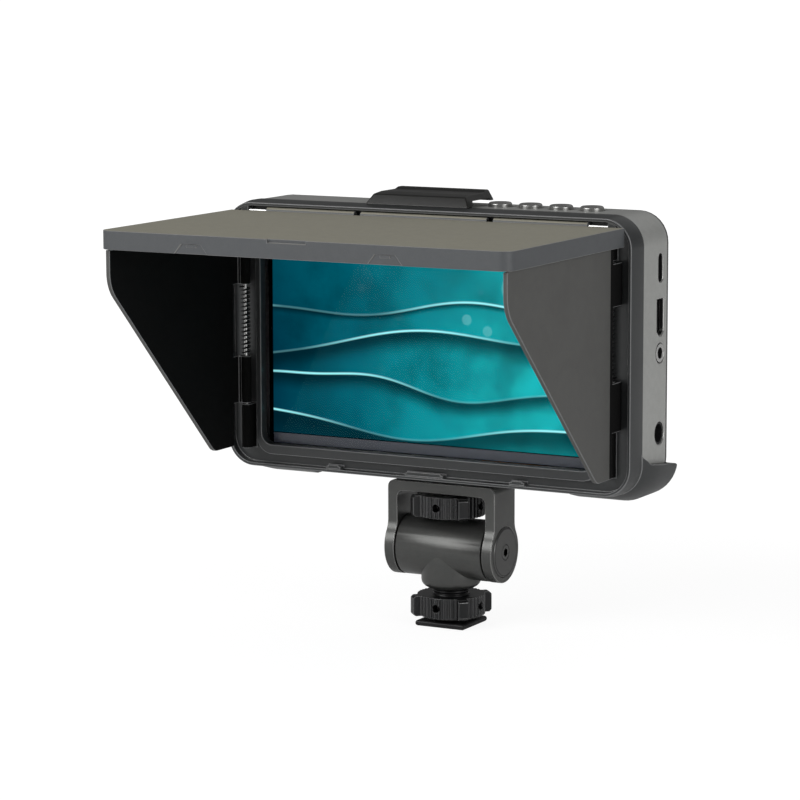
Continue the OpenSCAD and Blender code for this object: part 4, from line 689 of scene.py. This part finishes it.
@dataclass
class MonitorCase(SubAssembly):
    """The metal housing with its rear cover and case screws."""

    title = "monitor case"
    edge: float = 0.45 * MM
    shade_margin: float = 0.8 * MM

    def build(self) -> int:
        """Dresses the housing, with the walls of its socket holes painted black as shade, and its cover."""
        case = BENCH.refine("housing", "monitor", CASE_METAL, CASE_EDGE, self.edge, 3)
        case.data.materials.append(PORT_BLACK_AND_SHADE.material())
        # Painted shade: the housing's own walls inside and just round each socket hole take the black finish.
        for socket in ("usb_c_port", "hdmi_port", "dc_jack"):
            low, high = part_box(socket)
            for face in case.data.polygons:
                at = face.center
                inside = at.x > low.x - self.shade_margin and abs(face.normal.x) < 0.5
                if (
                    inside and low.y - self.shade_margin < at.y < high.y + self.shade_margin
                    and low.z - self.shade_margin < at.z < high.z + self.shade_margin
                ):
                    face.material_index = 2
        BENCH.refine("rear_cover", "monitor", REAR_COVER, None, 0.25 * MM)
        BENCH.refine("case_screws", "monitor", DARK_STEEL, MOUNT_EDGE, 0.08 * MM)
        BENCH.dress("threaded_insert", BRASS)
        return 4


@dataclass
class Electronics(SubAssembly):
    """What sits inside the housing: display stack, boards, spreader and cable."""

    title = "electronics"

    def build(self) -> int:
        """Dresses the inner nodes, which keep their CAD shapes."""
        finishes = {
            "lcd_panel": LCD_BORDER,
            "backlight": BACKLIGHT, "mid_plate": MID_PLATE, "main_board": BOARD_GREEN,
            "heat_spreader": SPREADER,
            "ribbon_cable": FLEX_AMBER, "button_board": BOARD_GREEN, "tact_switches": CHIP_BLACK,
        }
        for node, finish in finishes.items():
            BENCH.dress(node, finish)
        return len(finishes)


@dataclass
class Screen(SubAssembly):
    """The cover glass and the picture that shows through it."""

    title = "screen"
    width: float = 121.76 * MM
    height: float = 68.49 * MM
    gap: float = 0.35 * MM

    def build(self) -> int:
        """Builds the picture and the glass over it."""
        self.picture()
        self.glass()
        return 3

    def picture(self) -> None:
        """Builds the lit picture, a thin sheet just in front of the display."""
        low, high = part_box("lcd_panel")
        border = (high.x - low.x - self.width) / 2
        top = high.z - border
        front = low.y - 0.02 * MM
        mesh = bmesh.new()
        columns, rows = 32, 18
        grid = [
            [
                mesh.verts.new((-self.width / 2 + self.width * i / columns, front, top - self.height * j / rows))
                for i in range(columns + 1)
            ]
            for j in range(rows + 1)
        ]
        for upper, lower in zip(grid, grid[1:]):
            for i in range(columns):
                mesh.faces.new((upper[i], upper[i + 1], lower[i + 1], lower[i]))
        made = BENCH.piece("display_picture", mesh, [])
        centre = Vector((0.0, front, top - self.height / 2))
        made.data.materials.append(PictureMaterial(centre, self.width, self.height).material())
        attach(made, "monitor")
        strip = bmesh.new()
        bottom = top - self.height - self.gap
        corners = ((-1, bottom), (1, bottom), (1, low.z + 0.2 * MM), (-1, low.z + 0.2 * MM))
        strip.faces.new([strip.verts.new((side * self.width / 2, front, z)) for side, z in corners])
        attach(BENCH.piece("display_lower_strip", strip, [SCREEN_STRIP]), "monitor")

    def glass(self) -> None:
        """Gives the cover glass a clear, faintly coated finish."""
        material = bpy.data.materials.new("cover_glass_clear")
        material.use_nodes = True
        sheet = Sheet(material.node_tree)
        shader = material.node_tree.nodes["Principled BSDF"]
        smear = sheet.add(
            "ShaderNodeTexNoise", {"Vector": sheet.place(), "Scale": 40.0, "Detail": 4.0, "Distortion": 0.8}
        )
        for label, value in (
            ("Base Color", (0.97, 0.98, 0.98, 1.0)), ("Transmission Weight", 1.0), ("IOR", 1.13),
            ("Roughness", sheet.fit(smear.outputs["Fac"], 0.4, 0.75, 0.0, 0.03)),
        ):
            sheet.feed(shader.inputs[label], value)
        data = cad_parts["cover_glass"].data
        data.materials.clear()
        data.materials.append(material)


@dataclass
class PictureMaterial:
    """The moving-colour test picture: teal light with dark flowing bands. Its layout is made up."""

    centre: Vector
    width: float
    height: float

    def material(self) -> bpy.types.Material:
        """Builds the picture's material, which only gives off light."""
        material = bpy.data.materials.new("display_test_picture")
        material.use_nodes = True
        sheet = Sheet(material.node_tree)
        shader = material.node_tree.nodes["Principled BSDF"]
        moved = sheet.add(
            "ShaderNodeVectorMath", {0: sheet.place(), 1: tuple(self.centre)}, operation="SUBTRACT"
        ).outputs[0]
        scaled = sheet.add(
            "ShaderNodeVectorMath", {
                0: moved, 1: (2 / self.width, 1.0, 2 / self.height)
            }, operation="MULTIPLY"
        ).outputs[0]
        axes = sheet.add("ShaderNodeSeparateXYZ", {"Vector": scaled})
        across, up = axes.outputs["X"], axes.outputs["Z"]
        colour = self.lights(sheet, across, up, self.backdrop(sheet, across, up))
        bands = self.band_group()
        for level, rise, wave, phase, depth in (
            (0.30, -0.10, 2.1, 0.4, 0.05), (-0.05, 0.16, 1.7, 1.9, 0.16),
            (-0.42, 0.10, 2.6, 3.6, 0.13), (-0.8, -0.05, 1.9, 5.2, 0.30),
        ):
            band = sheet.add("ShaderNodeGroup", node_tree=bands)
            for label, value in (
                ("Across", across), ("Up", up), ("Level", level), ("Rise", rise), ("Wave", wave),
                ("Phase", phase), ("Depth", depth)
            ):
                sheet.feed(band.inputs[label], value)
            colour = sheet.mix(sheet.math("MULTIPLY", band.outputs["Fill"], 0.86), colour, (0.0, 0.012, 0.02))
            colour = sheet.mix(band.outputs["Line"], colour, (0.35, 0.95, 1.0))
        for label, value in (
            ("Base Color", (0.0, 0.0, 0.0, 1.0)), ("Roughness", 0.4), ("Specular IOR Level", 0.0),
            ("Emission Color", colour), ("Emission Strength", 1.0),
        ):
            sheet.feed(shader.inputs[label], value)
        return material

    @staticmethod
    def backdrop(sheet: Sheet, across: bpy.types.NodeSocket, up: bpy.types.NodeSocket) -> bpy.types.NodeSocket:
        """Builds the teal light, dark at the left edge and bright right of the middle."""
        side = sheet.fit(across, -1.0, 0.55, smooth=False)
        ramp = sheet.add("ShaderNodeValToRGB", {"Fac": side})
        stops = (
            (0.0, (0.0, 0.035, 0.065)), (0.35, (0.0, 0.13, 0.18)), (0.7, (0.003, 0.32, 0.37)),
            (1.0, (0.01, 0.5, 0.53))
        )
        ramp.color_ramp.elements[0].position = stops[0][0]
        ramp.color_ramp.elements[1].position = stops[-1][0]
        ramp.color_ramp.elements[0].color = (*stops[0][1], 1.0)
        ramp.color_ramp.elements[1].color = (*stops[-1][1], 1.0)
        for position, value in stops[1:-1]:
            ramp.color_ramp.elements.new(position).color = (*value, 1.0)
        dim = sheet.fit(up, -0.2, 1.1, 0.0, 0.55)
        return sheet.mix(dim, ramp.outputs["Color"], (0.0, 0.1, 0.14))

    @staticmethod
    def lights(
        sheet: Sheet, across: bpy.types.NodeSocket, up: bpy.types.NodeSocket, colour: bpy.types.NodeSocket,
    ) -> bpy.types.NodeSocket:
        """Lays soft round lights, out of focus, and a thin mist over the backdrop."""
        flat = sheet.add(
            "ShaderNodeCombineXYZ", {"X": sheet.math("MULTIPLY", across, 1.78), "Y": up}
        ).outputs[0]
        mist = sheet.add(
            "ShaderNodeTexNoise", {"Vector": flat, "Scale": 1.6, "Detail": 5.0, "Roughness": 0.55}
        ).outputs["Fac"]
        colour = sheet.mix(sheet.fit(mist, 0.35, 0.75, 0.0, 0.55, smooth=True), colour, (0.0, 0.02, 0.035))
        for scale, size, strength in ((1.9, 0.34, 0.34), (4.3, 0.3, 0.5)):
            cells = sheet.add("ShaderNodeTexVoronoi", {"Vector": flat, "Scale": scale, "Randomness": 0.85})
            disc = sheet.fit(cells.outputs["Distance"], size * 0.86, size, 1.0, 0.0, smooth=True)
            lit = sheet.fit(
                sheet.add("ShaderNodeSeparateColor", {0: cells.outputs["Color"]}).outputs[0], 0.45, 1.0
            )
            where = sheet.math("MULTIPLY", sheet.fit(across, -0.5, 0.9), sheet.fit(up, -0.4, 0.5))
            share = sheet.math(
                "MULTIPLY", sheet.math("MULTIPLY", disc, lit), sheet.math("MULTIPLY", where, strength)
            )
            colour = sheet.mix(share, colour, (0.42, 0.9, 0.88))
        return colour

    @staticmethod
    def band_group() -> bpy.types.NodeTree:
        """Builds the shader group of one flowing band: a dark fill and a bright line along its top."""
        labels = {
            "Across": 0.0, "Up": 0.0, "Level": 0.0, "Rise": 0.0, "Wave": 2.0, "Phase": 0.0, "Depth": 0.1
        }
        sheet, start, end = EffectGroups.open_group(
            "flowing_band",
            {label: ("NodeSocketFloat", value) for label, value in labels.items()},
            {"Fill": "NodeSocketFloat", "Line": "NodeSocketFloat"},
        )
        get = start.outputs
        swing = sheet.math("SINE", sheet.math("MULTIPLY_ADD", get["Across"], get["Wave"], get["Phase"]))
        ripple = sheet.math(
            "SINE",
            sheet.math("MULTIPLY_ADD", get["Across"], sheet.math("MULTIPLY", get["Wave"], 2.7), get["Phase"])
        )
        crest = sheet.math(
            "MULTIPLY_ADD", ripple, 0.035, sheet.math("MULTIPLY_ADD", swing, 0.15, get["Level"])
        )
        crest = sheet.math("MULTIPLY_ADD", get["Across"], get["Rise"], crest)
        below = sheet.math("SUBTRACT", crest, get["Up"])
        inside = sheet.fit(below, -0.004, 0.012)
        faded = sheet.fit(sheet.math("DIVIDE", below, get["Depth"]), 0.2, 1.6, 1.0, 0.0, smooth=True)
        sheet.feed(end.inputs["Fill"], sheet.math("MULTIPLY", inside, faded))
        line = sheet.fit(sheet.math("ABSOLUTE", below), 0.004, 0.016, 1.0, 0.0)
        bright = sheet.fit(
            sheet.math("SINE", sheet.math("MULTIPLY_ADD", get["Across"], 3.1, get["Phase"])), -0.6, 0.9, 0.15,
            1.0
        )
        sheet.feed(end.inputs["Line"], sheet.math("MULTIPLY", line, bright))
        return sheet.tree


@dataclass
class ButtonRow(SubAssembly):
    """The four round keys on top of the housing."""

    title = "button row"
    count: int = 4

    def build(self) -> int:
        """Dresses each key with a wide rounded rim."""
        for i in range(1, self.count + 1):
            BENCH.refine(f"button_{i}", f"button_{i}", BUTTON_METAL, CASE_EDGE, 0.22 * MM, 3)
        return self.count


@dataclass
class PortRow(SubAssembly):
    """The sockets in the right side."""

    title = "ports"
    rim: float = 0.5 * MM

    def build(self) -> int:
        """Dresses each socket."""
        made = BENCH.refine("headphone_jack", "monitor", STEEL, None, 0.2 * MM)
        made.data.materials.append(PORT_BLACK_AND_SHADE.material())
        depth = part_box("headphone_jack")[1].x - self.rim
        for face in made.data.polygons:
            if face.center.x < depth:
                face.material_index = 1
        for node, width in (("usb_c_port", 0.06), ("hdmi_port", 0.06), ("dc_jack", 0.1)):
            BENCH.refine(node, "monitor", PORT_BLACK_AND_SHADE, None, width * MM)
        return 4


@dataclass
class BatteryPlate(SubAssembly):
    """The plate on the back that a battery slides onto."""

    title = "battery plate"

    def build(self) -> int:
        """Dresses the plate, its contacts and its latch."""
        BENCH.refine("battery_plate", "monitor", BATTERY_PLASTIC, None, 0.25 * MM)
        BENCH.refine("battery_contacts", "monitor", GOLD, None, 0.1 * MM)
        BENCH.refine("battery_latch", "latch", BATTERY_PLASTIC, None, 0.2 * MM)
        return 3


@dataclass
class HoodFrame(SubAssembly):
    """The frame that clips over the monitor's face, with its grip, pins and springs."""

    title = "hood frame"
    shaded_channel_depth: float = 5.0 * MM
    shaded_channel_x: tuple[float, float] = (66.2 * MM, 70.4 * MM)

    def build(self) -> int:
        """Dresses the frame and the parts fixed to it, with painted shade on the walls of the channels beside
        the flaps.
        """
        # The frame's rounded edges take the painted highlight.
        made = BENCH.refine("hood_frame", "monitor", HOOD_PLASTIC, HOOD_EDGE_HIGHLIGHT, 0.28 * MM, 2)
        made.data.materials.append(FLAP_LINING_AND_SHADE.material())
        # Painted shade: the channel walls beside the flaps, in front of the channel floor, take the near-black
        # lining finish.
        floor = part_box("hood_frame")[0].y + self.shaded_channel_depth
        low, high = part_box("right_flap")
        for face in made.data.polygons:
            at = face.center
            if at.y < floor and self.shaded_channel_x[0] < abs(at.x) < self.shaded_channel_x[1] and low.z < at.z < high.z:
                face.material_index = 2
        BENCH.refine("top_grip", "monitor", GRIP_BLACK, None, 0.35 * MM, 3)
        BENCH.dress("top_hinge_pins", STEEL)
        for side in ("left", "right"):
            BENCH.dress(f"{side}_hinge_pin", STEEL)
            BENCH.dress(f"{side}_hinge_spring", SPRING_STEEL)
        return 7


@dataclass
class HoodPanels(SubAssembly):
    """The top panel and the two side flaps."""

    title = "hood panels"
    plate_x: float = 70.7 * MM
    shaded_hinge_zone: float = 4.6 * MM

    def build(self) -> int:
        """Dresses the panels: the top panel with a painted-light copy of its plastic on top and a painted-shade
        copy on its sides, and the flaps with a matt lining on their inner faces and painted shade on their outer
        faces near the hinges.
        """
        # The panel's rounded edges take the painted highlight.
        panel = BENCH.refine(
            "top_panel", "top_panel", PANEL_TOP_LIT, PANEL_EDGE_HIGHLIGHT, 0.13 * MM, 2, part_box("top_panel")[0].y + 1.2 * MM
        )
        # Faces that don't point up take the painted-shade copy of the panel's plastic.
        panel.data.materials.append(PANEL_SIDE_SHADED.material())
        for face in panel.data.polygons:
            if abs(face.normal.z) < 0.5:
                face.material_index = 2
        for side, sign in (("left", 1.0), ("right", -1.0)):
            # Each flap's rounded edges take the painted highlight.
            made = BENCH.refine(f"{side}_flap", f"{side}_flap", FLAP_OUTER, HOOD_EDGE_HIGHLIGHT, 0.22 * MM, 2)
            made.data.materials.append(FLAP_LINING_AND_SHADE.material())
            hinge_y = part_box("hood_frame")[0].y - self.shaded_hinge_zone
            BENCH.split(made.data, hinge_y, 1)
            # Inner faces take the lining; the outer face's strip behind the hinge line is painted near-black as
            # shade.
            for face in made.data.polygons:
                if face.normal.x * sign > 0.7 or abs(face.center.x) < self.plate_x or face.center.y > hinge_y:
                    face.material_index = 2
        return 3


# ---------------------------------------------------------------- the stage


@dataclass
class Studio:
    """The pale floor, the soft lamps and the camera at the photograph's angle."""

    focal_length: float = 148.25
    camera_place: Colour = (0.51342, -0.98652, 0.2445)
    yaw: float = 28.395
    pitch: float = 8.522
    roll: float = -0.138

    def build(self) -> None:
        """Sets the view, the world, the floor, the lamps and the camera."""
        bpy.context.scene.view_settings.view_transform = "Standard"
        self.world()
        self.floor()
        self.lamps()
        self.camera()
        LOG.info("studio: floor, lamps and camera")

    @staticmethod
    def white_to_camera(sheet: Sheet) -> bpy.types.NodeSocket:
        """Returns 1 for rays that see the backdrop: from the camera or through glass."""
        path = sheet.add("ShaderNodeLightPath").outputs
        return sheet.math("MAXIMUM", path["Is Camera Ray"], path["Is Transmission Ray"])

    def world(self) -> None:
        """Builds a plain white world that lights softly."""
        world = bpy.data.worlds.new("studio_white")
        bpy.context.scene.world = world
        world.use_nodes = True
        sheet = Sheet(world.node_tree)
        background = world.node_tree.nodes["Background"]
        sheet.feed(background.inputs["Color"], (1.0, 1.0, 1.0, 1.0))
        gloss = sheet.add("ShaderNodeLightPath").outputs["Is Glossy Ray"]
        lighting = sheet.fit(gloss, 0.0, 1.0, 0.34, 0.13)
        sheet.feed(
            background.inputs["Strength"], sheet.math("MAXIMUM", self.white_to_camera(sheet), lighting)
        )

    def floor(self) -> None:
        """Builds a wide pale floor that keeps the object's shadow."""
        material = bpy.data.materials.new("studio_floor_paper")
        material.use_nodes = True
        tree = material.node_tree
        tree.nodes.clear()
        sheet = Sheet(tree)
        grain = sheet.add("ShaderNodeTexNoise", {"Vector": sheet.place(), "Scale": 300.0, "Detail": 2.0})
        paper = sheet.add(
            "ShaderNodeBsdfDiffuse",
            {"Color": sheet.mix(grain.outputs["Fac"], (0.86, 0.86, 0.86), (0.9, 0.9, 0.9))}
        )
        glow = sheet.add("ShaderNodeEmission", {"Color": (1.0, 1.0, 1.0, 1.0), "Strength": 1.12})
        away = sheet.add("ShaderNodeVectorMath", {0: sheet.place()}, operation="LENGTH").outputs["Value"]
        share = sheet.math(
            "MULTIPLY", self.white_to_camera(sheet), sheet.fit(away, 0.1, 0.6, 0.8, 0.97, smooth=True)
        )
        blend = sheet.add("ShaderNodeMixShader", {0: share, 1: paper.outputs[0], 2: glow.outputs[0]})
        output = sheet.add("ShaderNodeOutputMaterial", {"Surface": blend.outputs[0]})
        output.is_active_output = True
        mesh = bmesh.new()
        bmesh.ops.create_circle(mesh, cap_ends=True, radius=14.0, segments=96)
        floor = BENCH.piece("studio_floor", mesh, [], smooth=False)
        floor.data.materials.append(material)

    @staticmethod
    def lamps() -> None:
        """Hangs three soft lamps round the object."""
        target = Vector((0.0, -0.02, 0.09))
        for name, place, size, power in (
            ("key_softbox", (-0.66, -1.1, 0.78), 0.95, 11.5),
            ("fill_softbox", (1.25, -0.45, 0.45), 0.8, 6.2),
            ("rear_softbox", (0.1, 1.1, 0.9), 0.9, 0.5),
        ):
            light = bpy.data.lights.new(name, "AREA")
            light.shape = "SQUARE"
            light.size = size
            light.energy = power
            lamp = bpy.data.objects.new(name, light)
            bpy.context.scene.collection.objects.link(lamp)
            lamp.location = place
            lamp.rotation_euler = (target - Vector(place)).to_track_quat("-Z", "Y").to_euler()

    def camera(self) -> None:
        """Sets the camera at the place that the photograph was taken from."""
        data = bpy.data.cameras.new("photo_camera")
        data.lens = self.focal_length
        data.sensor_width = 36.0
        data.clip_end = 50.0
        camera = bpy.data.objects.new("photo_camera", data)
        bpy.context.scene.collection.objects.link(camera)
        yaw, pitch = math.radians(self.yaw), math.radians(self.pitch)
        forward = Vector(
            (-math.sin(yaw) * math.cos(pitch), math.cos(yaw) * math.cos(pitch), -math.sin(pitch))
        )
        turn = forward.to_track_quat("-Z", "Y").to_matrix().to_4x4() @ Matrix.Rotation(
            math.radians(self.roll), 4, "Z"
        )
        camera.matrix_world = Matrix.Translation(Vector(self.camera_place)) @ turn
        bpy.context.scene.camera = camera


def main() -> None:
    """Builds the studio and every sub-assembly."""
    logging.basicConfig(level=logging.INFO, format="%(name)s: %(message)s")
    Studio().build()
    for assembly in (
        ShoeFoot(), TiltMount(), MonitorCase(), Electronics(), Screen(), ButtonRow(), PortRow(),
        BatteryPlate(), HoodFrame(), HoodPanels(),
    ):
        assembly.report()
    bpy.context.view_layer.update()


if __name__ == "__main__":
    main()
